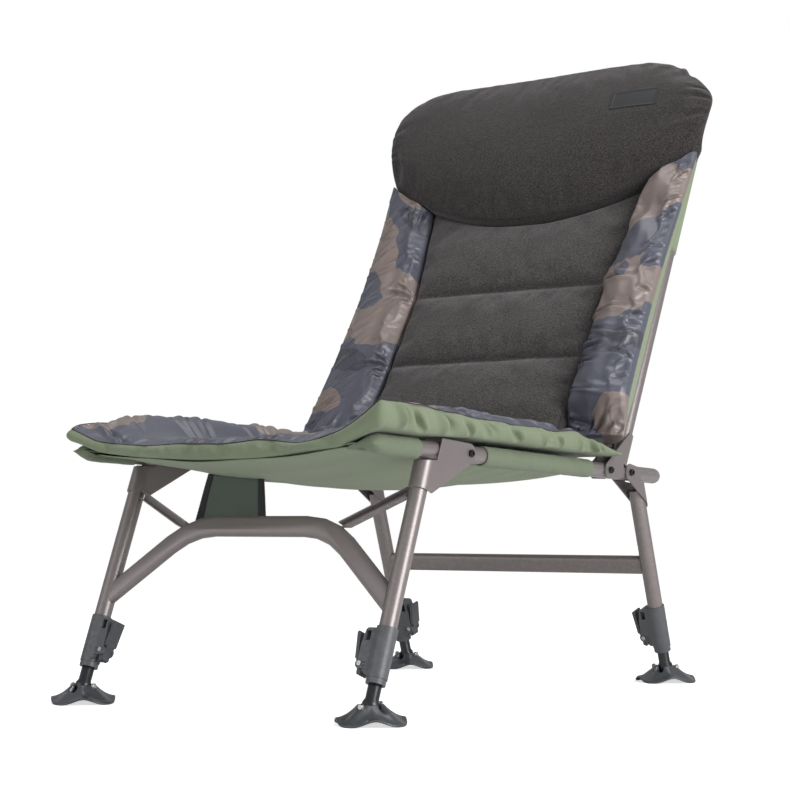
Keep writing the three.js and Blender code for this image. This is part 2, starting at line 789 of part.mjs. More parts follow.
function archCorners() {
  const drop = (halfSpan - archKneeReach) * Math.tan(rad(archDropAngle));
  return [
    [-halfSpan, archHeight - drop], [-archKneeReach, archHeight],
    [archKneeReach, archHeight], [halfSpan, archHeight - drop],
  ];
}

function frontArch() {
  const bar = sweep(flatTubeShape(), roundedPath(archCorners(), archBendRadius, 3), 3);
  return cut(bar, ...legRoom(frontLegTop));
}

/** A channel from the arch up to the collar of one leg, cut back where it meets them. */
function frontBrace() {
  const outerEnd = new THREE.Vector2(halfSpan, frontLegTop - braceTopDrop);
  const innerEnd = new THREE.Vector2(braceInnerReach, archHeight);
  const run = outerEnd.clone().sub(innerEnd);
  const half = braceWidth / 2;
  const deep = braceDepth / 2;
  const channel = polygon([
    [-deep, -half], [deep, -half], [deep, half], [-deep, half],
    [-deep, half - braceWall], [deep - braceWall, half - braceWall],
    [deep - braceWall, -half + braceWall], [-deep, -half + braceWall],
  ]);
  const bar = prism(channel, 0, run.length()).rotateZ(Math.PI / 2)
    .rotateY(Math.PI / 2 - run.angle()).translate(innerEnd.x, 0, innerEnd.y);
  const archRoom = sweep(ovalPath(THREE.Shape, flatTubeDepth + 2 * seatGap, flatTubeHeight + 2 * seatGap),
    roundedPath(archCorners(), archBendRadius, 3), 3);
  const below = new THREE.BoxGeometry(seatSpan, seatSpan, archHeight)
    .translate(innerEnd.x, 0, archHeight / 2);
  const collar = new THREE.BoxGeometry(2 * (plateOuter + seatGap), seatSpan, seatSpan)
    .translate(halfSpan, 0, frontLegTop);
  return cut(bar, archRoom, below, collar);
}

function legPlug() {
  const stem = tubeRadius - tubeWall - seatGap;
  return turned([
    [0, -legPlugStem], [stem, -legPlugStem], [stem, seatGap], [tubeRadius, seatGap],
    [tubeRadius, legPlugThickness - seatGap], [0, legPlugThickness - seatGap],
  ], tubeFacets);
}

/** Plastic clamp for the right side: its housing points to -X, towards the middle of the chair. */
function legClamp() {
  const sleeveRadius = tubeRadius + clampWall;
  const ringRadius = extensionDiameter / 2 + clampRingWall;
  const sleeve = turned([
    [0, clampRingBottom], [ringRadius, clampRingBottom], [ringRadius, clampBottom],
    [sleeveRadius, clampBottom], [sleeveRadius, clampTop], [0, clampTop],
  ], tubeFacets);
  const corner = (housingTop - windowTop) * 1.2;
  const housing = new THREE.Shape();
  housing.moveTo(0, housingFoot);
  housing.lineTo(-sleeveRadius, housingFoot);
  const bossTop = Math.acos((leverPinReach - housingReach) / leverBossRadius) - 2 * Math.PI;
  housing.absarc(-leverPinReach, leverPinHeight, leverBossRadius, -Math.PI / 3, bossTop, true);
  housing.lineTo(-housingReach, leverSlotTop);
  housing.lineTo(-housingTopReach, housingTop - corner);
  housing.absarc(-housingTopReach + corner, housingTop - corner, corner, Math.PI, Math.PI / 2, true);
  housing.lineTo(0, housingTop);
  const body = join(sleeve, depthPrism(housing, housingWidth, 4));
  const cutters = [
    rod(sleeveInner, legSeatHeight, clampTop + overrun),
    rod(extensionDiameter / 2 + seatGap, clampRingBottom - overrun, legSeatHeight + overrun),
    slab(-housingReach - overrun, -sleeveRadius - seatGap, leverSlotWidth, housingFoot - overrun, leverSlotTop),
    slab(-windowOuterReach, -windowInnerReach, housingWidth + overrun, windowBottom, windowTop),
    rod(leverPinDiameter / 2 + seatGap, -housingWidth, housingWidth, boltFacets)
      .rotateX(Math.PI / 2).translate(-leverPinReach, 0, leverPinHeight),
  ];
  const face = housingWidth / 2;
  for (const front of [-1, 1]) {
    for (let rib = 0; rib < ribSlotCount; rib += 1) {
      const height = ribSlotFirstHeight + rib * ribSlotPitch;
      const outerReach = ribSlotReach + ribSlotLength;
      const slot = slab(-outerReach, -ribSlotReach, 2 * ribSlotDepth, height, height + ribSlotHeight);
      cutters.push(slot.translate(0, front * face, 0));
    }
  }
  return cut(body, ...cutters);
}

/** A box between two places in x and two in z, centred on y. */
function slab(lowX, highX, depth, lowZ, highZ) {
  return weld(new THREE.BoxGeometry(highX - lowX, depth, highZ - lowZ)
    .translate((lowX + highX) / 2, 0, (lowZ + highZ) / 2));
}

/** Cam lever for the right side, closed against its housing. */
function camLever() {
  const paddleFoot = leverPinHeight + leverKnuckleRadius;
  const inner = -housingReach - seatGap;
  const paddle = new THREE.Shape();
  paddle.moveTo(inner, paddleFoot);
  paddle.lineTo(inner - leverLift, leverTop);
  paddle.absarc(inner - leverLift - leverThickness / 2, leverTop, leverThickness / 2, 0, Math.PI);
  paddle.lineTo(inner - leverThickness, paddleFoot);
  paddle.lineTo(-leverPinReach - leverKnuckleRadius, leverPinHeight);
  paddle.lineTo(-leverPinReach, leverPinHeight);
  const knuckle = new THREE.Shape();
  knuckle.absarc(-leverPinReach, leverPinHeight, leverKnuckleRadius, 0, Math.PI * 2);
  const tail = polygon([
    [-leverPinReach - leverKnuckleRadius * 0.95, leverPinHeight],
    [-leverPinReach - leverKnuckleRadius * 0.8, leverPinHeight - leverTailDrop * 0.85],
    [-leverPinReach + leverKnuckleRadius * 0.2, leverPinHeight - leverTailDrop],
    [-leverPinReach + leverKnuckleRadius * 0.8, leverPinHeight - leverKnuckleRadius * 0.4],
  ]);
  const inSlot = leverSlotWidth - 2 * seatGap;
  const wide = overlapOf(depthPrism(paddle, leverWidth, 4),
    slab(inner - leverLift - 2 * leverThickness, inner, leverWidth,
      leverPinHeight + leverBossRadius + seatGap, leverTop + leverThickness));
  const narrow = [depthPrism(paddle, inSlot, 4), depthPrism(knuckle, inSlot, 4), depthPrism(tail, inSlot)];
  const body = join(wide, ...narrow);
  const bore = rod(leverPinDiameter / 2 + seatGap, -housingWidth, housingWidth, boltFacets)
    .rotateX(Math.PI / 2).translate(-leverPinReach, 0, leverPinHeight);
  return cut(body, bore);
}

function leverPin() {
  const face = housingWidth / 2 + seatGap;
  const shank = leverPinDiameter / 2;
  const head = leverPinHeadDiameter / 2;
  const end = face + leverPinHeadHeight;
  const body = turned([
    [0, -end], [head, -end], [head, -face], [shank, -face],
    [shank, face], [head, face], [head, end], [0, end],
  ], boltFacets);
  const socket = hexRod(shank * 1.4, end - leverPinHeadHeight * 0.8, end + overrun);
  return cut(body, socket).rotateX(Math.PI / 2).translate(-leverPinReach, 0, leverPinHeight);
}

/** Telescopic leg with the ball of its foot on the end; the hole follows the foot's level pin. */
function extensionLeg(lean, quarterTurn) {
  const outer = extensionDiameter / 2;
  const ball = ballDiameter / 2;
  const neck = Math.sqrt(ball * ball - outer * outer);
  const steps = 5;
  const start = Math.asin(outer / ball);
  const profile = [];
  for (let step = 0; step <= steps; step += 1) {
    const angle = Math.PI - (Math.PI - start) * (step / steps);
    profile.push([step === 0 ? 0 : ball * Math.sin(angle), ball * Math.cos(angle)]);
  }
  profile[profile.length - 1] = [outer, neck];
  const inner = outer - extensionWall;
  profile.push([outer, extensionLength], [inner, extensionLength], [inner, neck], [0, neck]);
  const hole = rod(footPinDiameter / 2 + seatGap, -ballDiameter, ballDiameter, boltFacets);
  const across = quarterTurn ? hole.rotateX(Math.PI / 2 + rad(lean)) : hole.rotateY(Math.PI / 2);
  return cut(turned(profile, tubeFacets), across);
}

/** How far the foot's lobes stand out at an angle: 1 along X and Y, 0 between them. */
function lobeShare(angle) {
  return Math.abs(Math.cos(2 * angle));
}

/** Four-lobed outer form of the foot: a level crown, a step, ridged faces and an upright rim. */
function footBell() {
  const floor = -footPivotHeight;
  const rim = floor + footRimHeight;
  const places = [];
  const faces = [];
  for (let i = 0; i < footFacets; i += 1) {
    const angle = (i / footFacets) * Math.PI * 2;
    const dip = footDip * (1 - lobeShare(angle));
    const edge = footRadius - footNotch * (1 - lobeShare(angle));
    const middle = (footCrownRadius + edge) / 2;
    const rings = [
      [footCrownRadius, footCrownHeight], [footCrownRadius + footStep, footCrownHeight - footStep / 2 - dip],
      [middle, (footCrownHeight + rim) / 2 - dip], [edge, rim], [edge, floor],
    ];
    for (const [radius, height] of rings) {
      places.push(radius * Math.cos(angle), radius * Math.sin(angle), height);
    }
  }
  const stride = 5;
  const top = places.length / 3;
  places.push(0, 0, footCrownHeight, 0, 0, floor);
  for (let i = 0; i < footFacets; i += 1) {
    const here = i * stride;
    const next = ((i + 1) % footFacets) * stride;
    faces.push(top, here, next, top + 1, next + stride - 1, here + stride - 1);
    for (let ring = 0; ring < stride - 1; ring += 1) {
      faces.push(here + ring, here + ring + 1, next + ring + 1, here + ring, next + ring + 1, next + ring);
    }
  }
  const geometry = new THREE.BufferGeometry();
  geometry.setAttribute('position', new THREE.Float32BufferAttribute(places, 3));
  geometry.setIndex(faces);
  return weld(geometry);
}

/** Mud foot about its pivot: pin along X, ball slot towards Y, arches between the lobes. */
function mudFoot() {
  const socketFacets = 10;
  const facetEase = Math.cos(Math.PI / socketFacets);
  const ballRoom = (ballDiameter / 2 + seatGap) / facetEase;
  const floor = -footPivotHeight;
  const socketFloor = -ballRoom / facetEase - footShell;
  const hollow = turned([
    [0, floor - overrun], [footRadius - footNotch - footRimWidth, floor - overrun],
    [footRadius - footNotch - footRimWidth, floor + footRimHeight - footShell],
    [(footRadius + footCrownRadius) / 2, (footCrownHeight + floor + footRimHeight) / 2 - footDip - footShell],
    [footCrownRadius + footStep, socketFloor + 2 * footShell],
    [footCrownRadius * 0.7, socketFloor], [0, socketFloor],
  ], socketFacets);
  const socket = join(
    new THREE.SphereGeometry(ballRoom / facetEase, socketFacets, socketFacets / 2).rotateX(Math.PI / 2),
    rod(ballRoom, 0, footCrownHeight + overrun, socketFacets));
  const slotHalf = socketSlotWidth / 2;
  const slotShape = new THREE.Shape();
  slotShape.moveTo(slotHalf, footCrownHeight + overrun);
  slotShape.lineTo(-slotHalf, footCrownHeight + overrun);
  slotShape.lineTo(-slotHalf, -socketSlotDepth + slotHalf);
  slotShape.absarc(0, -socketSlotDepth + slotHalf, slotHalf, Math.PI, Math.PI * 2);
  const slot = depthPrism(slotShape, 2 * (footCrownRadius + footStep + overrun), 2);
  const pinHole = rod(footPinDiameter / 2 + seatGap, -footRadius, footRadius, boltFacets).rotateY(Math.PI / 2);
  const pocket = rod(footPocketRadius, footPinReach - seatGap, footRadius, boltFacets);
  const pockets = [1, -1].map((end) => pocket.clone().rotateY((end * Math.PI) / 2));
  const archShape = new THREE.Shape().absellipse(0, floor, footArchWidth / 2, footArchHeight, 0, Math.PI);
  const arches = [1, 3, 5, 7].map((eighth) => prism(archShape, footRadius / 2, 2 * footRadius, 2)
    .rotateX(Math.PI / 2).rotateZ(Math.PI / 2 + (eighth * Math.PI) / 4));
  return cut(footBell(), hollow, socket, slot, pinHole, ...pockets, ...arches);
}

function footPin() {
  const shank = footPinDiameter / 2;
  const inner = footPinReach;
  const outer = footPinReach + footNutHeight;
  const body = rod(shank, -inner, outer, boltFacets);
  const nut = hexRod(footNutSize, inner, outer - shank / 2);
  const head = turned([
    [0, -outer], [footNutSize * 0.4, -outer], [footNutSize / 2, -inner - shank / 2],
    [footNutSize / 2, -inner], [0, -inner],
  ], boltFacets);
  return join(body, nut, head).rotateY(Math.PI / 2);
}

/** Clamp, lever, telescopic leg, foot and pins of one leg. quarterTurn sets the foot's pin along Y. */
function buildLegEnd(place, word, side, foot, lean, quarterTurn) {
  const name = `${place}_${word}`;
  const leg = leaningFrame(side * halfSpan, foot, lean);
  addPiece(`clamp_${name}`, handed(legClamp(), side), plastic, leg);
  addPiece(`cam_lever_${name}`, handed(camLever(), side), plastic, leg);
  addPiece(`lever_pin_${name}`, handed(leverPin(), side), brightMetal, leg);
  const turn = quarterTurn ? Math.PI / 2 : 0;
  addPiece(`extension_leg_${name}`, extensionLeg(lean, quarterTurn), blackMetal, leg);
  const base = new THREE.Group();
  base.position.set(side * halfSpan, foot[0], foot[1]);
  base.rotation.z = turn;
  chair.add(base);
  addPiece(`mud_foot_${name}`, mudFoot(), blackPlastic, base);
  addPiece(`foot_pin_${name}`, footPin(), brightMetal, base);
}

function buildFrontLegs() {
  const frame = leaningFrame(0, frontFoot, frontLeanAngle);
  addPiece('front_arch', frontArch(), steel, frame);
  for (const [word, side] of sides) {
    const start = legSeatHeight + seatGap;
    const tube = pipe(tubeRadius, tubeRadius - tubeWall, start, frontLegTop).translate(side * halfSpan, 0, 0);
    addPiece(`front_leg_${word}`, tube, steel, frame);
    const plug = legPlug().translate(side * halfSpan, 0, frontLegTop);
    addPiece(`front_leg_plug_${word}`, plug, blackPlastic, frame);
    addPiece(`front_brace_${word}`, handed(frontBrace(), side), steel, frame);
    const reach = frontBoltReach + noseRadius + overrun;
    const bracket = foldedBracket(
      frontFoot, frontLeanAngle, -1, reach + frontPlateReach, frontBracketOutline(), -frontBoltReach);
    addPiece(`front_bracket_${word}`, bracket.translate(side * halfSpan, 0, 0), steel);
    buildLegEnd('front', word, side, frontFoot, frontLeanAngle, side > 0);
  }
}

function rearCrossbar() {
  const bar = sidePrism(flatTubeShape(), seatSpan, 3).translate(0, 0, crossbarHeight);
  return cut(bar, ...legRoom(rearLegTop));
}

function buildRearLegs() {
  const frame = leaningFrame(0, rearFoot, -rearLeanAngle);
  addPiece('rear_crossbar', rearCrossbar(), steel, frame);
  for (const [word, side] of sides) {
    const start = legSeatHeight + seatGap;
    const tube = pipe(tubeRadius, tubeRadius - tubeWall, start, rearLegTop).translate(side * halfSpan, 0, 0);
    addPiece(`rear_leg_${word}`, tube, steel, frame);
    const reach = frontPlateReach + noseRadius + overrun;
    const bracket = foldedBracket(rearFoot, -rearLeanAngle, 1, reach, rearBracketOutline(), rearBoltReach);
    addPiece(`rear_bracket_${word}`, bracket.translate(side * halfSpan, 0, 0), steel);
    buildLegEnd('rear', word, side, rearFoot, -rearLeanAngle, false);
  }
}

/** How far the pads stand out from the plane of the back tubes, at a height up the slope. */
function padProud(height) {
  const share = THREE.MathUtils.clamp(1 - height / (bowLowHeight + bowRise / 2), 0, 1);
  return padHeadProud + (padFootProud - padHeadProud) * share ** 1.4;
}

/** Rounded swell between the foot, the two sewn channels and the pillow. */
function channelSwell(height) {
  const seams = [padFootHeight, channelOneHeight, channelTwoHeight, bowLowHeight + bowRise / 2];
  for (let i = 0; i < seams.length - 1; i += 1) {
    if (height <= seams[i + 1]) {
      const share = THREE.MathUtils.clamp((height - seams[i]) / (seams[i + 1] - seams[i]), 0, 1);
      return Math.sin(Math.PI * share) ** 0.6;
    }
  }
  return 0;
}

function padRear(height) {
  const share = Math.max(0, 1 - height / padHollowHeight);
  return padRearFace + padHollow * share * share;
}

/** Height of the pillow's bowed lower edge. */
function bowHeight(x) {
  return bowLowHeight + bowRise * (Math.abs(x) / pillowHalfWidth) ** 2.2;
}

/** Half the width of the middle of the back, which flares under the pillow. */
function centreEdge(height) {
  const share = THREE.MathUtils.clamp((height - channelTwoHeight) / (bowLowHeight - channelTwoHeight), 0, 1.3);
  return centreHalfWidth + centreFlare * share;
}

/** A place on the back: x across, n out from the tubes' plane, height up the slope. */
function onBack(x, n, height) {
  return new THREE.Vector3(x, -n, height);
}

function backCentre() {
  const place = (u, v, layer, inset) => {
    const share = 2 * u - 1;
    const nominal = padFootHeight + v * (bowLowHeight - padFootHeight);
    const x = share * (centreEdge(nominal) - padSeamGap / 2) * inset;
    const height = padFootHeight + v * (bowHeight(x) - padSeamGap - padFootHeight);
    const swell = padCrown * channelSwell(height) * (1 - share ** 6);
    const edge = 1 - 0.12 * Math.abs(2 * v - 1) ** 8;
    const front = (padProud(height) + swell) * edge;
    return onBack(x, THREE.MathUtils.lerp(padRear(height), front, layer), height);
  };
  return cushion(8, 18,
    (u, v) => place(u, v, 1, 1), (u, v) => place(u, v, 0, 1), (u, v) => place(u, v, 0.5, 0.992));
}

/** A fat side roll: its front face is wide and its rear face ends level with the tubes. */
function backWing() {
  const place = (u, v, layer, outShare) => {
    const nominal = padFootHeight + v * (bowLowHeight - padFootHeight);
    const inner = centreEdge(nominal) + padSeamGap / 2;
    const waist = wingHalfWidth * (1 - 0.04 * Math.sin(Math.PI * v));
    const outer = THREE.MathUtils.lerp(wingRearHalfWidth, waist, layer);
    const x = THREE.MathUtils.lerp(inner, outer, u * outShare);
    const height = padFootHeight + v * (bowHeight(x) - padSeamGap - padFootHeight);
    const crown = wingCrown * Math.sin(Math.PI * (0.08 + 0.62 * u)) ** 0.7;
    const pucker = wingPuckerDepth * Math.sin(Math.PI * 26 * v) * (0.3 + 0.7 * u);
    const rounded = 1 - 0.08 * u ** 6;
    const front = (padProud(height) + crown) * rounded + pucker;
    return onBack(x, THREE.MathUtils.lerp(padRear(height) + clothThickness * u, front, layer), height);
  };
  return cushion(5, 18,
    (u, v) => place(u, v, 1, 0.98), (u, v) => place(u, v, 0, 1), (u, v) => place(u, v, 0.5, 1.04));
}

function pillowOutline(share, v) {
  const side = 1 - 0.05 * (1 - v) ** 2 - 0.05 * v ** 4;
  return share * pillowHalfWidth * side;
}

/** Front and rear of the head pillow over (u, v). */
function pillowPlace(u, v, layer, inset) {
  const share = 2 * u - 1;
  const x = pillowOutline(share, v) * inset * THREE.MathUtils.lerp(0.84, 1, layer);
  const top = pillowTopHeight - (pillowTopHeight - bowLowHeight) * 0.16 * Math.abs(share) ** 7;
  const low = bowHeight(x);
  const height = THREE.MathUtils.lerp(low, top, 0.5 + (v - 0.5) * inset);
  const rise = Math.sin(Math.PI * THREE.MathUtils.clamp(v, 0.03, 0.97)) ** 0.35;
  const dome = rise * (1 - 0.25 * share ** 8);
  const front = pillowEdgeProud + (pillowProud - pillowEdgeProud) * dome;
  return onBack(x, THREE.MathUtils.lerp(padRearFace, front, layer), height);
}

function headPillow() {
  return cushion(16, 8,
    (u, v) => pillowPlace(u, v, 1, 0.98),
    (u, v) => pillowPlace(u, v, 0, 0.98),
    (u, v) => pillowPlace(u, v, 0.5, 1));
}

/** The bare patch lies flat on the pillow's face, just clear of its swell. */
function labelPatch() {
  const rows = [patchLevel - patchHeight / 2, patchLevel, patchLevel + patchHeight / 2];
  const columns = [patchReach - patchWidth / 2, patchReach, patchReach + patchWidth / 2];
  let proud = 0;
  for (const x of columns) {
    for (const height of rows) {
      const u = (x / pillowHalfWidth + 1) / 2;
      const v = (height - bowHeight(x)) / (pillowTopHeight - bowHeight(x));
      proud = Math.max(proud, -pillowPlace(u, v, 1, 1).y);
    }
  }
  return weld(new THREE.BoxGeometry(patchWidth, patchThickness, patchHeight)
    .translate(patchReach, -proud - seatGap - patchThickness / 2, patchLevel));
}

const backTubeFoot = legReachAboveRail();

/** How far up the slope the square-cut back tube starts, clear of the rail. */
function legReachAboveRail() {
  const slope = rad(backLeanAngle + railFallAngle);
  const fromRail = tubeRadius + tubeRadius * Math.sin(slope) + 2 * seatGap;
  const baseOffset = (backBase[1] - railAxis(backBase[0])) * Math.cos(rad(railFallAngle));
  return (fromRail - baseOffset) / Math.cos(slope);
}

function backFramePath(start) {
  return roundedPath([
    [-halfSpan, start], [-halfSpan, backFrameHeight], [halfSpan, backFrameHeight], [halfSpan, start],
  ], backBendRadius, 3);
}

function backCloth() {
  const place = (u, v, lift) => {
    const height = THREE.MathUtils.lerp(backClothFoot, backFrameHeight, v);
    const narrow = halfSpan - plateOuter - 2 * seatGap;
    const wide = THREE.MathUtils.smoothstep(height, backSleeveFoot - flatTubeHeight, backSleeveFoot);
    const top = Math.max(0, (height - backFrameHeight + backBendRadius) / backBendRadius);
    const full = halfSpan - backBendRadius * (1 - Math.sqrt(Math.max(0, 1 - top * top)));
    const x = (2 * u - 1) * Math.min(THREE.MathUtils.lerp(narrow, halfSpan, wide), full);
    return onBack(x, sleeveInner + seatGap / 2 + lift, height);
  };
  const panel = cushion(4, 10,
    (u, v) => place(u, v, clothThickness),
    (u, v) => place(u, v, 0),
    (u, v) => place(u, v, clothThickness / 2));
  const sleeve = sweep(circleShape(sleeveOuter + seatGap, sleeveInner), backFramePath(backSleeveFoot), 8);
  return join(panel, sleeve);
}

function buildBack() {
  const frame = leaningFrame(0, backBase, backLeanAngle);
  const tube = sweep(circleShape(tubeRadius, tubeRadius - tubeWall), backFramePath(backTubeFoot), 8);
  addPiece('back_frame', tube, steel, frame);
  addPiece('back_cloth', backCloth(), sageCloth, frame);
  addPiece('back_pad_centre', backCentre(), fleece, frame);
  addPiece('head_pillow', headPillow(), fleece, frame);
  addPiece('label_patch', labelPatch(), label, frame);
  for (const [word, side] of sides) {
    addPiece(`back_wing_${word}`, handed(backWing(), side), camouflage, frame);
    const reach = backPlateReach + noseRadius + overrun;
    const bracket = foldedBracket(backBase, backLeanAngle, 1, reach, backBracketOutline(), backBoltReach);
    addPiece(`back_bracket_${word}`, bracket.translate(side * halfSpan, 0, 0), steel);
  }
}

buildSeat();
buildFrontLegs();
buildRearLegs();
buildBack();
chair.position.y = -frameMiddle;

export default chair;
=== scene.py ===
"""Dresses the folding fishing chair: sewn covers, painted tubes, clamps and feet, in a pale studio."""
import json
import logging
import math
import random
from dataclasses import dataclass
from enum import Enum
from typing import Callable, Iterable, Optional, Sequence

import bmesh
import bpy
import numpy as np
from mathutils import Matrix, Vector, noise

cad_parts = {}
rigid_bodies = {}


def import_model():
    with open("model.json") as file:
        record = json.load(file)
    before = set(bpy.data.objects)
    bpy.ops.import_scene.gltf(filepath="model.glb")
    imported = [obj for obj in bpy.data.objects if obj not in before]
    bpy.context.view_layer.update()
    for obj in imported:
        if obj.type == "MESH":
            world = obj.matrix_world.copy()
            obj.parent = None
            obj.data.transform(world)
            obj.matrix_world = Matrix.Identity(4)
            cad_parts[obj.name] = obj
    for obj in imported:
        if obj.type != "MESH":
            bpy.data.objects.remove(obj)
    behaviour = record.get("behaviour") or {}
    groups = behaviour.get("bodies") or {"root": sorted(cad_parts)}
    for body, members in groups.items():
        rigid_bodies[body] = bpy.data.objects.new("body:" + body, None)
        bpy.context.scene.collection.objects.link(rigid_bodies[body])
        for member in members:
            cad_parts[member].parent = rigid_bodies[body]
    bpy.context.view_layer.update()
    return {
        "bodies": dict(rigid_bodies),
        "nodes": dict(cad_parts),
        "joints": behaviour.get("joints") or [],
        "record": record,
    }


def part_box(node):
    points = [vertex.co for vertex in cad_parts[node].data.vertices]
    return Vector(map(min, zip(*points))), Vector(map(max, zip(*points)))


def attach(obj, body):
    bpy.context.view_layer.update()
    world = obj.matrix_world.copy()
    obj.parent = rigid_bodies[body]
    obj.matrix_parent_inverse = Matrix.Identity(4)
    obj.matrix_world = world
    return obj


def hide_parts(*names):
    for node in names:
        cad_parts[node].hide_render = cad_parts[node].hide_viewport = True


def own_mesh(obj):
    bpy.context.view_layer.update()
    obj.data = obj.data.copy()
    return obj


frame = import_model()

LOG = logging.getLogger("fishing_chair")

MM = 0.001
FRAME_MIDDLE = 173.0
ROUNDING = 1
FILLING_FRAMES = 20
CLOTH_SETTINGS = {"quality": 6, "mass": 0.15, "air_damping": 2.0, "tension_stiffness": 12.0,
                  "compression_stiffness": 12.0, "shear_stiffness": 4.0, "bending_stiffness": 0.3}
ON_SEAM = 0.001
DOUBLES = 1e-5

Colour = tuple[float, float, float]
Place = Callable[[float, float, float], Vector]


class Side(Enum):
    """The two hands of the chair, as seen from its front."""

    LEFT = -1
    RIGHT = 1

    @property
    def word(self) -> str:
        """The side's word in the names of the CAD nodes."""
        return self.name.lower()


class Corner(Enum):
    """The four legs."""

    FRONT_LEFT = "front_left"
    FRONT_RIGHT = "front_right"
    REAR_LEFT = "rear_left"
    REAR_RIGHT = "rear_right"


# Node trees


class Tree:
    """A thin hand on a node tree: adds nodes with their values and links them."""

    def __init__(self, tree: bpy.types.NodeTree) -> None:
        """Keeps the tree.

        Args:
            tree: The node tree to add to.
        """
        self.tree = tree

    def add(self, kind: str, values: Optional[dict] = None, **settings: object) -> bpy.types.Node:
        """Adds a node.

        Args:
            kind: The node's type name.
            values: Input values or sockets to link, by input name or index.
            settings: Attributes of the node.

        Returns:
            The new node.
        """
        node = self.tree.nodes.new(kind)
        for name, value in settings.items():
            setattr(node, name, value)
        for key, value in (values or {}).items():
            if isinstance(value, bpy.types.NodeSocket):
                self.tree.links.new(value, node.inputs[key])
            else:
                node.inputs[key].default_value = value
        return node

    def link(self, value: bpy.types.NodeSocket, node: bpy.types.Node, name: str) -> None:
        """Links a value to a node's input."""
        self.tree.links.new(value, node.inputs[name])

    def math(self, operation: str, first: object, second: object = 0.0, clamp: bool = False
             ) -> bpy.types.NodeSocket:
        """Adds a Math node and returns its output."""
        node = self.add("ShaderNodeMath", {0: first, 1: second}, operation=operation, use_clamp=clamp)
        return node.outputs[0]

    def mix(self, share: object, first: object, second: object) -> bpy.types.NodeSocket:
        """Mixes two colours by a share and returns the colour.

        Args:
            share: The second colour's share.
            first: A colour.
            second: Another one.

        Returns:
            The mixed colour.
        """
        node = self.add("ShaderNodeMix", data_type="RGBA", clamp_factor=True)
        for index, value in ((0, share), (6, first), (7, second)):
            if isinstance(value, bpy.types.NodeSocket):
                self.tree.links.new(value, node.inputs[index])
            elif index:
                node.inputs[index].default_value = (*value, 1.0)
            else:
                node.inputs[index].default_value = value
        return node.outputs[2]

    def ramp(self, value: object, low: float, high: float) -> bpy.types.NodeSocket:
        """Eases a value from 0 at low to 1 at high and returns it."""
        values = {"Value": value, "From Min": low, "From Max": high}
        return self.add("ShaderNodeMapRange", values, interpolation_type="SMOOTHSTEP").outputs["Result"]

    def noise(self, place: object, scale: object, detail: float = 2.0, roughness: float = 0.5
              ) -> bpy.types.NodeSocket:
        """Adds a noise texture and returns its value."""
        values = {"Vector": place, "Scale": scale, "Detail": detail, "Roughness": roughness}
        return self.add("ShaderNodeTexNoise", values).outputs[0]

    def stretched(self, place: object, scale: Sequence[float]) -> bpy.types.NodeSocket:
        """Scales coordinates along their axes and returns them."""
        return self.add("ShaderNodeMapping", {"Vector": place, "Scale": tuple(scale)}).outputs[0]


class Effect:
    """A shader node group that more than one finish uses. It is built once."""

    name = "effect"
    inputs: tuple[tuple[str, str, object], ...] = ()
    outputs: tuple[tuple[str, str], ...] = ()

    @classmethod
    def group(cls) -> bpy.types.NodeTree:
        """Builds the group, or returns the one already built.

        Returns:
            The node group.
        """
        found = bpy.data.node_groups.get(cls.name)
        if found:
            return found
        group = bpy.data.node_groups.new(cls.name, "ShaderNodeTree")
        for name, kind, value in cls.inputs:
            socket = group.interface.new_socket(name, in_out="INPUT", socket_type=kind)
            if value is not None:
                socket.default_value = value
        for name, kind in cls.outputs:
            group.interface.new_socket(name, in_out="OUTPUT", socket_type=kind)
        tree = Tree(group)
        cls.fill(tree, tree.add("NodeGroupInput"), tree.add("NodeGroupOutput"))
        return group

    @classmethod
    def fill(cls, tree: Tree, given: bpy.types.Node, result: bpy.types.Node) -> None:
        """Adds the group's nodes.

        Args:
            tree: The group's tree.
            given: The group's input node.
            result: The group's output node.
        """
        raise NotImplementedError

    @classmethod
    def use(cls, tree: Tree, **values: object) -> bpy.types.Node:
        """Places the group in a material and returns the node."""
        return tree.add("ShaderNodeGroup", {key.replace("_", " "): value for key, value in values.items()},
                        node_tree=cls.group())


class Weave(Effect):
    """Plain weave: threads over and under, with a few thicker ones."""

    name = "plain_weave"
    inputs = (("Place", "NodeSocketVector", None), ("Threads", "NodeSocketFloat", 1800.0))
    outputs = (("Height", "NodeSocketFloat"), ("Shade", "NodeSocketFloat"))
    slub_scale = (900.0, 30.0, 30.0)
    slub_height = 0.5
    thread_shade = 0.6
    slub_shade = 0.4

    @classmethod
    def fill(cls, tree: Tree, given: bpy.types.Node, result: bpy.types.Node) -> None:
        """Crosses two sets of rounded threads. See Effect.fill."""
        parts = tree.add("ShaderNodeSeparateXYZ", {0: given.outputs["Place"]}).outputs
        warp = tree.math("MULTIPLY", parts[0], given.outputs["Threads"])
        weft = tree.math("MULTIPLY", parts[1], given.outputs["Threads"])
        warp_round = tree.math("ABSOLUTE", tree.math("SINE", tree.math("MULTIPLY", warp, math.pi)))
        weft_round = tree.math("ABSOLUTE", tree.math("SINE", tree.math("MULTIPLY", weft, math.pi)))
        floors = tree.math("ADD", tree.math("FLOOR", warp), tree.math("FLOOR", weft))
        over = tree.math("PINGPONG", floors, 1.0)
        crossing = tree.add("ShaderNodeMix", {0: over, 2: warp_round, 3: weft_round}, data_type="FLOAT")
        crossed = crossing.outputs[0]
        slubs = tree.noise(tree.stretched(given.outputs["Place"], cls.slub_scale), scale=1.0)
        height = tree.math("ADD", crossed, tree.math("MULTIPLY", slubs, cls.slub_height))
        thread_part = tree.math("MULTIPLY", crossed, cls.thread_shade)
        shade = tree.math("ADD", thread_part, tree.math("MULTIPLY", slubs, cls.slub_shade))
        tree.link(height, result, "Height")
        tree.link(shade, result, "Shade")


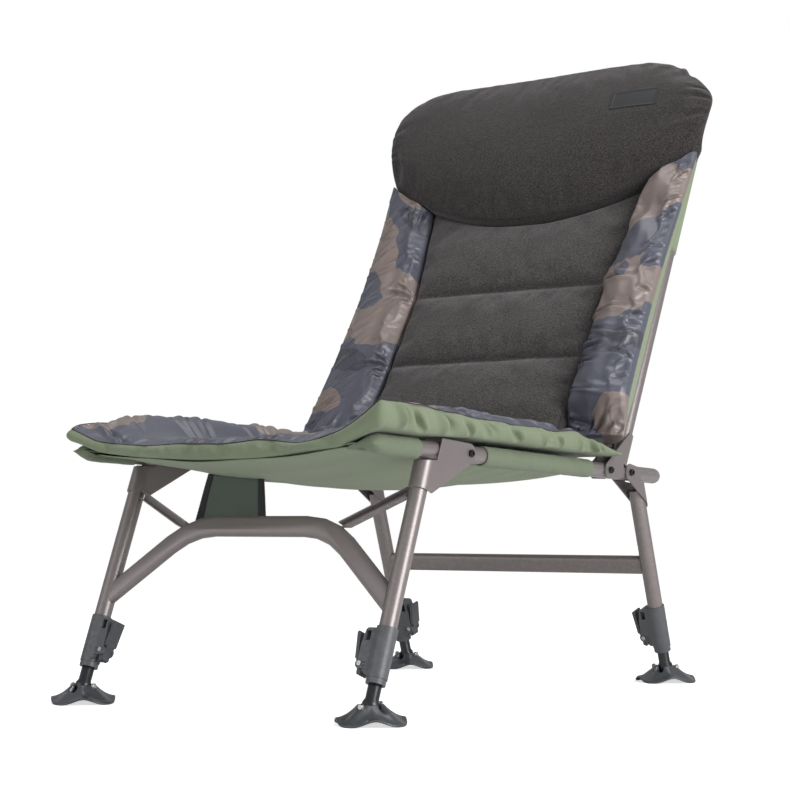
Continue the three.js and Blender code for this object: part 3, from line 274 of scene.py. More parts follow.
class Crumple(Effect):
    """Fine soft creases of a thin cloth, as a height from 0 to 1."""

    name = "cloth_crumple"
    inputs = (("Place", "NodeSocketVector", None), ("Size", "NodeSocketFloat", 18.0))
    outputs = (("Height", "NodeSocketFloat"),)
    long_scale = (0.35, 1.0, 0.7)
    sharpness = 2.6

    @classmethod
    def fill(cls, tree: Tree, given: bpy.types.Node, result: bpy.types.Node) -> None:
        """Folds two noises into ridges. See Effect.fill."""
        swirl = tree.noise(given.outputs["Place"], scale=7.0, detail=1.0)
        lean = tree.add("ShaderNodeVectorRotate", {"Vector": given.outputs["Place"], "Angle": swirl},
                        rotation_type="AXIS_ANGLE").outputs[0]
        long_way = tree.stretched(lean, cls.long_scale)
        value = tree.noise(long_way, given.outputs["Size"], detail=3.0, roughness=0.55)
        ridge = tree.math("ABSOLUTE", tree.math("SUBTRACT", value, 0.5))
        height = tree.math("SUBTRACT", 1.0, tree.math("MULTIPLY", ridge, cls.sharpness), clamp=True)
        tree.link(height, result, "Height")


class Grain(Effect):
    """Fine grain with slow blotches, for paint, plastic and dusty cloth."""

    name = "surface_grain"
    inputs = (("Place", "NodeSocketVector", None), ("Fineness", "NodeSocketFloat", 900.0))
    outputs = (("Grain", "NodeSocketFloat"), ("Blotch", "NodeSocketFloat"))

    @classmethod
    def fill(cls, tree: Tree, given: bpy.types.Node, result: bpy.types.Node) -> None:
        """Joins a fine and a slow noise. See Effect.fill."""
        fine = tree.noise(given.outputs["Place"], given.outputs["Fineness"], detail=3.0, roughness=0.6)
        slow = tree.noise(given.outputs["Place"], scale=14.0, detail=4.0, roughness=0.6)
        tree.link(fine, result, "Grain")
        tree.link(slow, result, "Blotch")


class EdgeWear(Effect):
    """Rubbed edges and corners, found by how the surface curves."""

    name = "edge_wear"
    inputs = (("Place", "NodeSocketVector", None), ("Amount", "NodeSocketFloat", 0.5))
    outputs = (("Wear", "NodeSocketFloat"),)

    @classmethod
    def fill(cls, tree: Tree, given: bpy.types.Node, result: bpy.types.Node) -> None:
        """Breaks the pointed places up with noise. See Effect.fill."""
        pointed = tree.add("ShaderNodeNewGeometry").outputs["Pointiness"]
        edge = tree.ramp(pointed, low=0.53, high=0.62)
        spots = tree.noise(given.outputs["Place"], scale=160.0, detail=4.0, roughness=0.65)
        patch = tree.ramp(spots, low=0.45, high=0.65)
        wear = tree.math("MULTIPLY", tree.math("MULTIPLY", edge, patch), given.outputs["Amount"], clamp=True)
        tree.link(wear, result, "Wear")


# Finishes


@dataclass(frozen=True)
class Finish:
    """A finish of the chair: a named material that is built once."""

    name: str
    slot: str

    def material(self) -> bpy.types.Material:
        """Builds the finish's material, or returns the one already built.

        Returns:
            The material.
        """
        found = bpy.data.materials.get(self.name)
        if found:
            return found
        made = bpy.data.materials.new(self.name)
        made.use_nodes = True
        made.node_tree.nodes.clear()
        tree = Tree(made.node_tree)
        shader = tree.add("ShaderNodeBsdfPrincipled")
        output = tree.add("ShaderNodeOutputMaterial")
        made.node_tree.links.new(shader.outputs[0], output.inputs[0])
        self.fill(tree, shader)
        return made

    def fill(self, tree: Tree, shader: bpy.types.Node) -> None:
        """Adds what the finish varies.

        Args:
            tree: The material's tree.
            shader: Its Principled BSDF.
        """
        raise NotImplementedError

    @staticmethod
    def place(tree: Tree) -> bpy.types.NodeSocket:
        """Coordinates in metres that stay with the piece."""
        return tree.add("ShaderNodeTexCoord").outputs["Object"]

    @staticmethod
    def bump(tree: Tree, shader: bpy.types.Node, heights: Iterable[tuple[object, float, float]]) -> None:
        """Chains heights into the shader's normal.

        Args:
            tree: The material's tree.
            shader: Its Principled BSDF.
            heights: Height socket, strength and distance in metres of each.
        """
        normal = None
        for height, strength, distance in heights:
            values = {"Height": height, "Strength": strength, "Distance": distance}
            if normal is not None:
                values["Normal"] = normal
            normal = tree.add("ShaderNodeBump", values).outputs[0]
        tree.link(normal, shader, "Normal")


@dataclass(frozen=True)
class Paint(Finish):
    """Satin paint on steel tube, a little uneven, rubbed at the edges."""

    colour: Colour = (0.225, 0.195, 0.195)
    bare: Colour = (0.38, 0.35, 0.34)
    metallic: float = 0.4
    roughness: float = 0.36
    wear: float = 0.35
    shade_share: float = 0.86
    coat: float = 0.25
    coat_roughness: float = 0.25

    def fill(self, tree: Tree, shader: bpy.types.Node) -> None:
        """Paint with orange peel and rubbed edges. See Finish.fill."""
        place = self.place(tree)
        grain = Grain.use(tree, Place=place, Fineness=520.0).outputs
        wear = EdgeWear.use(tree, Place=place, Amount=self.wear).outputs["Wear"]
        dark = tuple(self.shade_share * part for part in self.colour)
        base = tree.mix(grain["Blotch"], dark, self.colour)
        tree.link(tree.mix(wear, base, self.bare), shader, "Base Color")
        rough = tree.math("ADD", self.roughness - 0.05, tree.math("MULTIPLY", grain["Blotch"], 0.1))
        tree.link(rough, shader, "Roughness")
        shader.inputs["Metallic"].default_value = self.metallic
        shader.inputs["Coat Weight"].default_value = self.coat
        shader.inputs["Coat Roughness"].default_value = self.coat_roughness
        self.bump(tree, shader, [(grain["Grain"], 0.12, 0.0002)])


@dataclass(frozen=True)
class Plastic(Finish):
    """Moulded plastic with a fine spark texture."""

    colour: Colour = (0.02, 0.021, 0.024)
    roughness: float = 0.45
    texture: float = 0.2
    dust: float = 0.0
    wear: float = 0.4

    def fill(self, tree: Tree, shader: bpy.types.Node) -> None:
        """Plastic with a fine texture and paler edges. See Finish.fill."""
        place = self.place(tree)
        grain = Grain.use(tree, Place=place, Fineness=1500.0).outputs
        wear = EdgeWear.use(tree, Place=place, Amount=self.wear).outputs["Wear"]
        pale = tuple(0.04 + 1.5 * part for part in self.colour)
        dusty = tree.math("MULTIPLY", grain["Blotch"], self.dust)
        base = tree.mix(dusty, self.colour, pale)
        tree.link(tree.mix(wear, base, pale), shader, "Base Color")
        rough = tree.math("ADD", self.roughness - 0.06, tree.math("MULTIPLY", grain["Grain"], 0.12))
        tree.link(rough, shader, "Roughness")
        self.bump(tree, shader, [(grain["Grain"], self.texture, 0.0002)])


@dataclass(frozen=True)
class BrightMetal(Finish):
    """Zinc-plated steel of pins and nuts."""

    colour: Colour = (0.62, 0.62, 0.6)
    roughness: float = 0.25
    shade_share: float = 0.72

    def fill(self, tree: Tree, shader: bpy.types.Node) -> None:
        """Plated steel with faint turning marks. See Finish.fill."""
        place = self.place(tree)
        grain = Grain.use(tree, Place=place, Fineness=700.0).outputs
        dull = tuple(self.shade_share * part for part in self.colour)
        tree.link(tree.mix(grain["Blotch"], dull, self.colour), shader, "Base Color")
        rough = tree.math("ADD", self.roughness - 0.05, tree.math("MULTIPLY", grain["Grain"], 0.12))
        tree.link(rough, shader, "Roughness")
        shader.inputs["Metallic"].default_value = 1.0
        self.bump(tree, shader, [(grain["Grain"], 0.08, 0.0001)])


@dataclass(frozen=True)
class WovenCloth(Finish):
    """Woven polyester with soft creases."""

    colour: Colour = (0.222, 0.27, 0.17)
    shade: Colour = (0.15, 0.185, 0.112)
    roughness: float = 0.78
    threads: float = 1700.0
    crease: float = 0.35
    sheen: float = 0.15
    thread_shade: float = 0.55
    soiling: float = 0.35

    def fill(self, tree: Tree, shader: bpy.types.Node) -> None:
        """Cloth with a weave, creases and faint soiling. See Finish.fill."""
        place = tree.add("ShaderNodeUVMap", uv_map="cloth").outputs[0]
        weave = Weave.use(tree, Place=place, Threads=self.threads).outputs
        solid = self.place(tree)
        crumple = Crumple.use(tree, Place=solid, Size=16.0).outputs["Height"]
        blotch = Grain.use(tree, Place=solid, Fineness=300.0).outputs["Blotch"]
        base = tree.mix(tree.math("MULTIPLY", weave["Shade"], self.thread_shade), self.colour, self.shade)
        dirt = tree.math("MULTIPLY", tree.ramp(blotch, low=0.45, high=0.8), self.soiling)
        soiled = tree.mix(dirt, base, self.shade)
        tree.link(soiled, shader, "Base Color")
        shader.inputs["Roughness"].default_value = self.roughness
        shader.inputs["Sheen Weight"].default_value = self.sheen
        shader.inputs["Sheen Roughness"].default_value = 0.5
        self.bump(tree, shader, [(crumple, self.crease, 0.0022), (weave["Height"], 0.35, 0.00018)])


@dataclass(frozen=True)
class SatinCamouflage(Finish):
    """Smooth satin polyester printed in slate with brown and darker patches."""

    slate: Colour = (0.08, 0.084, 0.112)
    deep: Colour = (0.05, 0.05, 0.068)
    brown: Colour = (0.213, 0.168, 0.151)
    roughness: float = 0.34
    crease: float = 0.14
    small_crease: float = 0.12
    edge: float = 0.006
    threads: float = 3600.0
    thread_shade: float = 0.18
    sheen: float = 0.06

    def fill(self, tree: Tree, shader: bpy.types.Node) -> None:
        """Printed patches on a creased satin. See Finish.fill."""
        place = self.place(tree)
        base = self.slate
        for name, colour in (("print_deep", self.deep), ("print_brown", self.brown)):
            value = tree.add("ShaderNodeAttribute", attribute_name=name).outputs["Fac"]
            base = tree.mix(tree.ramp(value, -self.edge, self.edge), base, colour)
        flat = tree.add("ShaderNodeUVMap", uv_map="cloth").outputs[0]
        weave = Weave.use(tree, Place=flat, Threads=self.threads).outputs
        crumple = Crumple.use(tree, Place=place, Size=24.0).outputs["Height"]
        small = Crumple.use(tree, Place=place, Size=60.0).outputs["Height"]
        shaded = tree.mix(tree.math("MULTIPLY", weave["Shade"], self.thread_shade), base, self.deep)
        tree.link(shaded, shader, "Base Color")
        rough = tree.math("ADD", self.roughness - 0.04, tree.math("MULTIPLY", weave["Shade"], 0.1))
        tree.link(rough, shader, "Roughness")
        shader.inputs["Sheen Weight"].default_value = self.sheen
        shader.inputs["Sheen Roughness"].default_value = 0.35
        shader.inputs["Specular IOR Level"].default_value = 0.6
        self.bump(tree, shader, [(crumple, self.crease, 0.002), (small, self.small_crease, 0.001),
                                 (weave["Height"], 0.15, 0.0001)])


@dataclass(frozen=True)
class Fleece(Finish):
    """Brushed charcoal fleece with a short pile."""

    colour: Colour = (0.036, 0.032, 0.032)
    tip: Colour = (0.105, 0.097, 0.096)
    roughness: float = 0.95
    shade_share: float = 0.72
    brushing: float = 0.35
    sheen: float = 0.25

    def fill(self, tree: Tree, shader: bpy.types.Node) -> None:
        """Pile with paler tips and brushed patches. See Finish.fill."""
        place = self.place(tree)
        pile = tree.noise(place, scale=900.0, roughness=0.7)
        tuft = tree.noise(tree.stretched(place, (0.8, 1.0, 1.0)), scale=520.0, roughness=0.6)
        brushed = tree.noise(tree.stretched(place, (0.5, 1.0, 1.0)), scale=14.0, detail=3.0, roughness=0.6)
        mixed = tree.math("ADD", tree.math("MULTIPLY", pile, 0.5), tree.math("MULTIPLY", tuft, 0.5))
        base = tree.mix(tree.ramp(mixed, low=0.4, high=0.62), self.colour, self.tip)
        dark = tuple(self.shade_share * part for part in self.colour)
        strokes = tree.math("MULTIPLY", tree.ramp(brushed, low=0.5, high=0.75), self.brushing)
        patchy = tree.mix(strokes, base, dark)
        tree.link(patchy, shader, "Base Color")
        shader.inputs["Roughness"].default_value = self.roughness
        shader.inputs["Sheen Weight"].default_value = self.sheen
        shader.inputs["Sheen Roughness"].default_value = 0.4
        shader.inputs["Specular IOR Level"].default_value = 0.15
        self.bump(tree, shader, [(tuft, 0.7, 0.002), (pile, 0.7, 0.0008)])


FRAME_PAINT = Paint("taupe_frame_paint", "frame_paint")
TUBE_BLACK = Paint("black_tube_paint", "black_gloss_metal", colour=(0.016, 0.017, 0.02),
                   bare=(0.1, 0.1, 0.1), metallic=0.2, roughness=0.3, wear=0.2)
BOLT_BLACK = Paint("black_bolt_finish", "black_bolt", colour=(0.018, 0.018, 0.02), bare=(0.12, 0.12, 0.12),
                   metallic=0.6, roughness=0.38, wear=0.5)
PLUG_PLASTIC = Plastic("taupe_plug_plastic", "plug_plastic", colour=(0.2, 0.175, 0.172), roughness=0.5)
CLAMP_PLASTIC = Plastic("grey_clamp_plastic", "grey_plastic", colour=(0.064, 0.068, 0.076),
                        roughness=0.42, texture=0.35, dust=0.4)
LEVER_PLASTIC = Plastic("dark_lever_plastic", "dark_plastic", colour=(0.045, 0.048, 0.055), roughness=0.44,
                        texture=0.3, dust=0.4)
CAP_PLASTIC = Plastic("black_cap_plastic", "black_plastic", colour=(0.014, 0.014, 0.016), roughness=0.5)
FOOT_PLASTIC = Plastic("black_foot_plastic", "black_gloss_plastic", colour=(0.044, 0.047, 0.054),
                       roughness=0.2, texture=0.12, dust=0.5)
ZINC = BrightMetal("plated_zinc", "bright_zinc")
SAGE = WovenCloth("woven_sage_polyester", "sage_polyester")
# A darker copy of the sage cloth for the seat pad's gusset: painted shade, the same cloth made darker here
# than on the slung cloth and the back.
SHADED_PAD_SAGE = WovenCloth("woven_gusset_polyester", "sage_polyester", colour=(0.185, 0.224, 0.14),
                      shade=(0.12, 0.15, 0.088))
# A darker copy of the sage cloth for the rail sleeves: painted shade, standing for the shadow of the seat pad
# above them.
SHADED_SLEEVE_SAGE = WovenCloth("woven_sleeve_polyester", "sage_polyester", colour=(0.145, 0.178, 0.114),
                         shade=(0.098, 0.122, 0.074))
FLAP_GREEN = WovenCloth("woven_dark_green", "dark_green_cloth", colour=(0.092, 0.125, 0.098),
                        shade=(0.062, 0.085, 0.068), crease=0.5)
BINDING = WovenCloth("black_binding", "dark_green_cloth", colour=(0.018, 0.018, 0.02),
                     shade=(0.01, 0.01, 0.011), crease=0.1, threads=1200.0)
CAMOUFLAGE = SatinCamouflage("printed_satin", "camouflage_satin")
FLEECE = Fleece("brushed_charcoal_fleece", "charcoal_fleece")
# A darker copy of the charcoal fleece for the pillow: painted shade, the same fleece made darker than on the
# centre pad.
SHADED_PILLOW_FLEECE = Fleece("brushed_pillow_fleece", "charcoal_fleece", colour=(0.021, 0.018, 0.018),
                       tip=(0.068, 0.061, 0.06))
LABEL_RUBBER = Plastic("bare_label_rubber", "bare_label", colour=(0.012, 0.013, 0.015), roughness=0.5,
                       texture=0.3)


# Chair lines


@dataclass
class ChairLines:
    """The lines that the sewn pieces follow, in millimetres from the working point on the floor."""

    half_span: float = 252.0
    tube_radius: float = 12.0
    rail_height: float = 343.3
    rail_fall: float = 2.2
    back_bolt_reach: float = 308.0
    back_setback: float = 42.8
    back_lean: float = 26.3
    frame_top: float = 702.0
    bend_radius: float = 84.0
    sling_front: float = 283.0
    sling_rear: float = 262.0
    sling_half: float = 238.9
    sling_drop: float = 4.0
    sling_sag: float = 36.0
    sling_crease: float = 1.5
    sling_creases: int = 5
    crease_bow: float = 2.4
    end_sag_share: float = 0.3
    cloth: float = 1.6

    def at(self, x: float, y: float, z: float) -> Vector:
        """A place of the working point's frame, in metres of the row frame."""
        return Vector((x * MM, (y - FRAME_MIDDLE) * MM, z * MM))

    def rail(self, y: float) -> float:
        """Height of the rail axis."""
        return self.rail_height - y * math.tan(math.radians(self.rail_fall))

    def on_back(self, x: float, out: float, up: float) -> Vector:
        """A place beside the back's plane.

        Args:
            x: Across the chair.
            out: Forward of the plane through the back tube's axis.
            up: Up the slope of the back.

        Returns:
            The place in the row frame, in metres.
        """
        lean = math.radians(self.back_lean)
        base = self.back_bolt_reach + self.back_setback
        y = base + up * math.sin(lean) - out * math.cos(lean)
        z = self.rail(self.back_bolt_reach) + up * math.cos(lean) + out * math.sin(lean)
        return self.at(x, y, z)

    def sling(self, x: float, y: float) -> float:
        """Height of the slung cloth's underside, with its sag and cross creases.

        Args:
            x: Place across.
            y: Place from front to rear.

        Returns:
            The height in millimetres.
        """
        along = (y + self.sling_front) / (self.sling_front + self.sling_rear)
        across = x / self.sling_half
        arc = math.sin(math.pi * (0.06 + 0.84 * along))
        depth = self.end_sag_share + (1 - self.end_sag_share) * arc
        hollow = 1 - across * across
        crease = math.sin(self.sling_creases * math.pi * along + self.crease_bow * across * across) * hollow
        return self.rail(y) - self.sling_drop - self.sling_sag * depth * hollow + self.sling_crease * crease


LINES = ChairLines()


def smooth(value: float, low: float, high: float) -> float:
    """Eases a value from 0 at low to 1 at high."""
    share = min(1.0, max(0.0, (value - low) / (high - low)))
    return share * share * (3 - 2 * share)


def lerp(first: float, second: float, share: float) -> float:
    """The value a share of the way from the first to the second."""
    return first + (second - first) * share


# Mesh work


def finish_object(name: str, form: bmesh.types.BMesh, finishes: Sequence[Finish], body: str
                  ) -> bpy.types.Object:
    """Makes an object of a bmesh and lets it ride on a body.

    Args:
        name: The piece's name.
        form: The bmesh, which is freed.
        finishes: Finishes by material index.
        body: The CAD body that it rides on.

    Returns:
        The object, smooth shaded.
    """
    mesh = bpy.data.meshes.new(name)
    form.normal_update()
    form.to_mesh(mesh)
    form.free()
    for finish in finishes:
        mesh.materials.append(finish.material())
    for polygon in mesh.polygons:
        polygon.use_smooth = True
    piece = bpy.data.objects.new(name, mesh)
    bpy.context.scene.collection.objects.link(piece)
    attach(piece, body)
    return piece


def subdivided(piece: bpy.types.Object) -> bpy.types.Object:
    """Rounds a piece with a Subdivision Surface and returns it.

    Args:
        piece: The piece.

    Returns:
        The same piece.
    """
    modifier = piece.modifiers.new("rounding", "SUBSURF")
    modifier.levels = ROUNDING
    modifier.render_levels = ROUNDING
    return piece


def thickened(piece: bpy.types.Object, thickness: float) -> bpy.types.Object:
    """Gives a sheet its thickness, in millimetres to both sides, and returns it.

    Args:
        piece: The sheet.
        thickness: Millimetres in all.

    Returns:
        The same piece.
    """
    modifier = piece.modifiers.new("thickness", "SOLIDIFY")
    modifier.thickness = thickness * MM
    modifier.offset = 0.0
    return piece


def cut_along(form: bmesh.types.BMesh, axis: int, cuts: int) -> None:
    """Cuts every edge that runs along an axis.

    Args:
        form: A form that started as a cube or a grid.
        axis: 0, 1 or 2.
        cuts: Number of cuts in each edge.
    """
    if cuts < 1:
        return
    edges = []
    for edge in form.edges:
        span = edge.verts[0].co - edge.verts[1].co
        straight = all(abs(span[other]) < DOUBLES for other in range(3) if other != axis)
        if abs(span[axis]) > 0.5 and straight:
            edges.append(edge)
    bmesh.ops.subdivide_edges(form, edges=edges, cuts=cuts, use_grid_fill=True)


@dataclass(frozen=True)
class Fold:
    """One crease of the cloth: a valley with a lip on one side, over flat coordinates in millimetres."""

    start: tuple[float, float]
    end: tuple[float, float]
    depth: float
    width: float
    even: bool = False
    bend: float = 0.0

    def lift(self, places: np.ndarray) -> np.ndarray:
        """Lift of the cloth at places of its flat, in millimetres.

        Args:
            places: Rows of x and y, in millimetres.

        Returns:
            One lift for each place.
        """
        run = np.subtract(self.end, self.start)
        length = float(np.hypot(*run))
        aside = places - self.start
        along = aside @ run / length ** 2
        across = (aside[:, 0] * run[1] - aside[:, 1] * run[0]) / length
        across = across + self.bend * np.sin(math.pi * np.clip(along, 0.0, 1.0))
        if self.even:
            return -self.depth * np.exp(-((across / self.width) ** 2))
        width = self.width * (0.6 + 0.6 * np.clip(along, 0.0, 1.2))
        fade = eased(along, -0.12, 0.12) * (1 - eased(along, 0.4, 1.15))
        valley = np.exp(-((across / width) ** 2))
        lip = 0.85 * np.exp(-(((across - 1.9 * width) / (1.2 * width)) ** 2))
        far = 0.3 * np.exp(-(((across + 2.4 * width) / (1.5 * width)) ** 2))
        return self.depth * fade * (lip + far - valley)


@dataclass
class FoldRow:
    """Creases that start along a sewn edge at uneven distances and run into the cloth."""

    start: tuple[float, float]
    end: tuple[float, float]
    count: int
    run: tuple[float, float]
    depth: float
    width: float
    seed: int
    scatter: float = 0.5

    def folds(self) -> list[Fold]:
        """The row's creases.

        Returns:
            The creases.
        """
        chance = random.Random(self.seed)
        first, last = Vector(self.start), Vector(self.end)
        made = []
        for number in range(self.count):
            share = (number + 0.5 + chance.uniform(-0.45, 0.45)) / self.count
            begin = first.lerp(last, share)
            grow = 1 + chance.uniform(-self.scatter, self.scatter)
            turn = chance.uniform(-0.5, 0.5) * self.scatter
            run = Matrix.Rotation(turn, 2) @ Vector(self.run) * grow
            deep = self.depth * chance.uniform(0.45, 1.2)
            width = self.width * chance.uniform(0.7, 1.3)
            bend = 0.07 * run.length * chance.uniform(-1.0, 1.0)
            made.append(Fold(tuple(begin), tuple(begin + run), deep, width, bend=bend))
        return made


@dataclass(frozen=True)
class Blot:
    """One printed patch, an ellipse over a piece's shares."""

    u: float
    v: float
    wide: float
    tall: float
    over: bool = False

    def reach(self, u: np.ndarray, v: np.ndarray) -> np.ndarray:
        """How far inside the patch places are: 1 in its middle, 0 at its edge."""
        return 1 - np.hypot((u - self.u) / self.wide, (v - self.v) / self.tall)


def printed(blots: Sequence[Blot], u: np.ndarray, v: np.ndarray, wobble: np.ndarray) -> np.ndarray:
    """The print's field at shares: the patch lies where it is over zero.

    Args:
        blots: The patches.
        u: Shares across.
        v: Shares along.
        wobble: Unevenness of the outlines.

    Returns:
        One value for each place.
    """
    values = np.full(len(u), -1.0)
    for blot in blots:
        inside = blot.reach(u, v) + wobble
        values = np.minimum(values, -inside) if blot.over else np.maximum(values, inside)
    return values


def scattered(seed: int, count: int, size: tuple[float, float]) -> tuple[Blot, ...]:
    """Patches strewn over a piece.

    Args:
        seed: Start of the random draws.
        count: How many.
        size: Their usual size, as a share.

    Returns:
        The patches.
    """
    chance = random.Random(seed)
    spread = (0.6, 1.5)
    return tuple(Blot(chance.random(), chance.random(), size[0] * chance.uniform(*spread),
                      size[1] * chance.uniform(*spread)) for _ in range(count))


def eased(values: np.ndarray, low: float, high: float) -> np.ndarray:
    """Eases values from 0 at low to 1 at high."""
    share = np.clip((values - low) / (high - low), 0.0, 1.0)
    return share * share * (3 - 2 * share)


def sum_lifts(folds: Sequence[Fold], places: np.ndarray) -> np.ndarray:
    """The lifts of many creases together."""
    return sum((crease.lift(places) for crease in folds), np.zeros(len(places)))


@dataclass
class Padding:
    """A stuffed sewn form over (u, v, w): u across, v along, w from the resting side, 0, to the open one."""

    name: str
    body: str
    nodes: tuple[str, ...]
    place: Place
    cuts: tuple[int, int, int]
    size: tuple[float, float, float]
    finishes: tuple[Finish, ...]
    dress: Callable[[Vector, Vector], int]
    fill: float
    pressure: float
    swell: float
    slack: float
    free: Callable[[Vector], bool]
    folds: Sequence[Fold] = ()
    side_folds: Sequence[Fold] = ()
    brown: Sequence[Blot] = ()
    deep: Sequence[Blot] = ()
    rear_turn: float = 20000.0
    side_turn: float = 10000.0
    wobble_size: float = 24.0

    def block(self) -> bmesh.types.BMesh:
        """A cube cut into rows along each axis, with its corner at zero and a size of one.

        Returns:
            The block.
        """
        form = bmesh.new()
        bmesh.ops.create_cube(form, size=1.0)
        for axis in (2, 1, 0):
            cut_along(form, axis, self.cuts[axis] - 1)
        bmesh.ops.translate(form, verts=form.verts, vec=(0.5, 0.5, 0.5))
        return form

    def unwrap(self, form: bmesh.types.BMesh) -> None:
        """Writes the cloth's own coordinates, in metres, face by face.

        Args:
            form: The block, still in shares.
        """
        layer = form.loops.layers.uv.new("cloth")
        for face in form.faces:
            normal = face.normal
            flat = max(range(3), key=lambda axis: abs(normal[axis]))
            first, second = [axis for axis in range(3) if axis != flat]
            for loop in face.loops:
                share = loop.vert.co
                loop[layer].uv = tuple(share[axis] * self.size[axis] * MM for axis in (first, second))

    def build(self) -> bpy.types.Object:
        """Shapes, dresses and fills the form.

        Returns:
            The finished piece.
        """
        form = self.block()
        form.normal_update()
        self.unwrap(form)
        for face in form.faces:
            face.material_index = self.dress(face.calc_center_median(), face.normal)
        layer = form.verts.layers.float_vector.new("share")
        held = []
        for index, vert in enumerate(form.verts):
            share = vert.co.copy()
            vert[layer] = share
            vert.co = self.place(*share)
            if not self.free(share):
                held.append(index)
        bmesh.ops.recalc_face_normals(form, faces=form.faces)
        piece = finish_object(self.name, form, self.finishes, self.body)
        inflate(piece, held, self.pressure, self.swell, self.slack)
        self.refine(piece)
        self.sew(piece)
        subdivided(piece)
        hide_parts(*self.nodes)
        LOG.info("%s: %d faces", self.name, len(piece.data.polygons))
        return piece

    @staticmethod
    def refine(piece: bpy.types.Object) -> None:
        """Rounds the form once into its mesh, with its shares.

        Args:
            piece: The pad; its mesh is replaced.
        """
        modifier = subdivided(piece).modifiers[0]
        graph = bpy.context.evaluated_depsgraph_get()
        coarse = piece.data
        rounded = piece.evaluated_get(graph)
        piece.data = bpy.data.meshes.new_from_object(rounded, preserve_all_data_layers=True, depsgraph=graph)
        piece.modifiers.remove(modifier)
        bpy.data.meshes.remove(coarse)
        piece.data.name = piece.name

    def lift(self, shares: np.ndarray) -> np.ndarray:
        """Lift of points by the creases of their faces, in millimetres.

        Args:
            shares: Places in the block.

        Returns:
            One lift for each place.
        """
        total = np.zeros(len(shares))
        flat = shares * self.size
        far = np.array(self.size)[:2] - flat[:, :2]
        near = np.minimum(flat[:, :2], far).min(axis=1)
        top = shares[:, 2] > 0.99
        total[top] = sum_lifts(self.folds, flat[top][:, :2]) * eased(near[top], 0.5, 8.0)
        bulk = np.sin(math.pi * shares[:, 2])
        rim = ~top & (shares[:, 2] > 0.01)
        for axis, other, turn in ((0, 1, 0.0), (1, 0, self.rear_turn)):
            for end, shift in ((0.0, turn), (1.0, turn + self.side_turn)):
                on = rim & (np.abs(shares[:, axis] - end) < 0.004)
                spots = np.stack([flat[on][:, other] + shift, flat[on][:, 2]], axis=1)
                total[on] = sum_lifts(self.side_folds, spots) * bulk[on]
        return total

    def sew(self, piece: bpy.types.Object) -> None:
        """Lifts the cloth by its creases and writes its print.

        Args:
            piece: The swollen pad.
        """
        mesh = piece.data
        count = len(mesh.vertices)
        shares, places, normals = (np.empty(count * 3) for _ in range(3))
        mesh.attributes["share"].data.foreach_get("vector", shares)
        mesh.vertices.foreach_get("co", places)
        mesh.vertices.foreach_get("normal", normals)
        shares = shares.reshape(count, 3)
        lifts = self.lift(shares)[:, None] * normals.reshape(count, 3) * MM
        mesh.vertices.foreach_set("co", (places.reshape(count, 3) + lifts).ravel())
        for name, blots in (("print_brown", self.brown), ("print_deep", self.deep)):
            if blots:
                layer = mesh.attributes.new(name, "FLOAT", "POINT")
                field = printed(blots, shares[:, 0], shares[:, 1], self.wobble(shares))
                layer.data.foreach_set("value", field)
        mesh.attributes.remove(mesh.attributes["share"])
        mesh.update()

    def wobble(self, shares: np.ndarray) -> np.ndarray:
        """Unevenness of the printed outlines.

        Args:
            shares: Places in the block.

        Returns:
            One value for each place.
        """
        wide, tall = self.size[0], self.size[1]
        spots = [Vector((share[0] * wide / self.wobble_size, share[1] * tall / self.wobble_size, 0.0))
                 for share in shares]
        return np.array([0.2 * noise.noise(spot) + 0.06 * noise.noise(spot * 2.7) for spot in spots])


def inflate(piece: bpy.types.Object, held: Sequence[int], pressure: float, cap: float, slack: float) -> None:
    """Blows a closed form up as cloth, keeps its result and takes the simulation off again.

    Args:
        piece: The piece, at the origin.
        held: Indices of the vertices that stay.
        pressure: Pressure inside.
        cap: The most that a point may move, in millimetres.
        slack: Share by which the cloth is larger than the form.
    """
    mesh = piece.data
    start = [vert.co.copy() for vert in mesh.vertices]
    group = piece.vertex_groups.new(name="held")
    group.add(list(held), 1.0, "REPLACE")
    modifier = piece.modifiers.new("filling", "CLOTH")
    cloth = modifier.settings
    for setting, value in CLOTH_SETTINGS.items():
        setattr(cloth, setting, value)
    cloth.use_pressure = True
    cloth.uniform_pressure_force = pressure
    cloth.vertex_group_mass = "held"
    cloth.shrink_min = -slack
    cloth.effector_weights.gravity = 0.0
    modifier.collision_settings.use_collision = False
    scene = bpy.context.scene
    scene.frame_start = 1
    modifier.point_cache.frame_start = 1
    modifier.point_cache.frame_end = FILLING_FRAMES
    for number in range(1, FILLING_FRAMES + 1):
        scene.frame_set(number)
    graph = bpy.context.evaluated_depsgraph_get()
    swollen = piece.evaluated_get(graph).to_mesh()
    moved = [vert.co.copy() for vert in swollen.vertices]
    piece.evaluated_get(graph).to_mesh_clear()
    piece.modifiers.remove(modifier)
    piece.vertex_groups.remove(group)
    scene.frame_set(1)
    limit = cap * MM
    for vert, before, after in zip(mesh.vertices, start, moved):
        step = after - before
        if step.length > limit:
            step = step.normalized() * limit
        vert.co = before + step
    mesh.update()


def sheet_form(across: int, along: int, place: Callable[[float, float], Vector], width: float,
               length: float) -> bmesh.types.BMesh:
    """A sheet of cloth over (u, v) from 0 to 1, with its own coordinates in metres.

    Args:
        across: Faces across.
        along: Faces along.
        place: Where each (u, v) lies.
        width: Flat width, in millimetres.
        length: Flat length.

    Returns:
        The bmesh.
    """
    form = bmesh.new()
    bmesh.ops.create_grid(form, x_segments=across, y_segments=along, size=0.5, calc_uvs=False)
    layer = form.loops.layers.uv.new("cloth")
    for vert in form.verts:
        vert.co += Vector((0.5, 0.5, 0.0))
    for face in form.faces:
        for loop in face.loops:
            loop[layer].uv = (loop.vert.co.x * width * MM, loop.vert.co.y * length * MM)
    for vert in form.verts:
        vert.co = place(vert.co.x, vert.co.y)
    return form


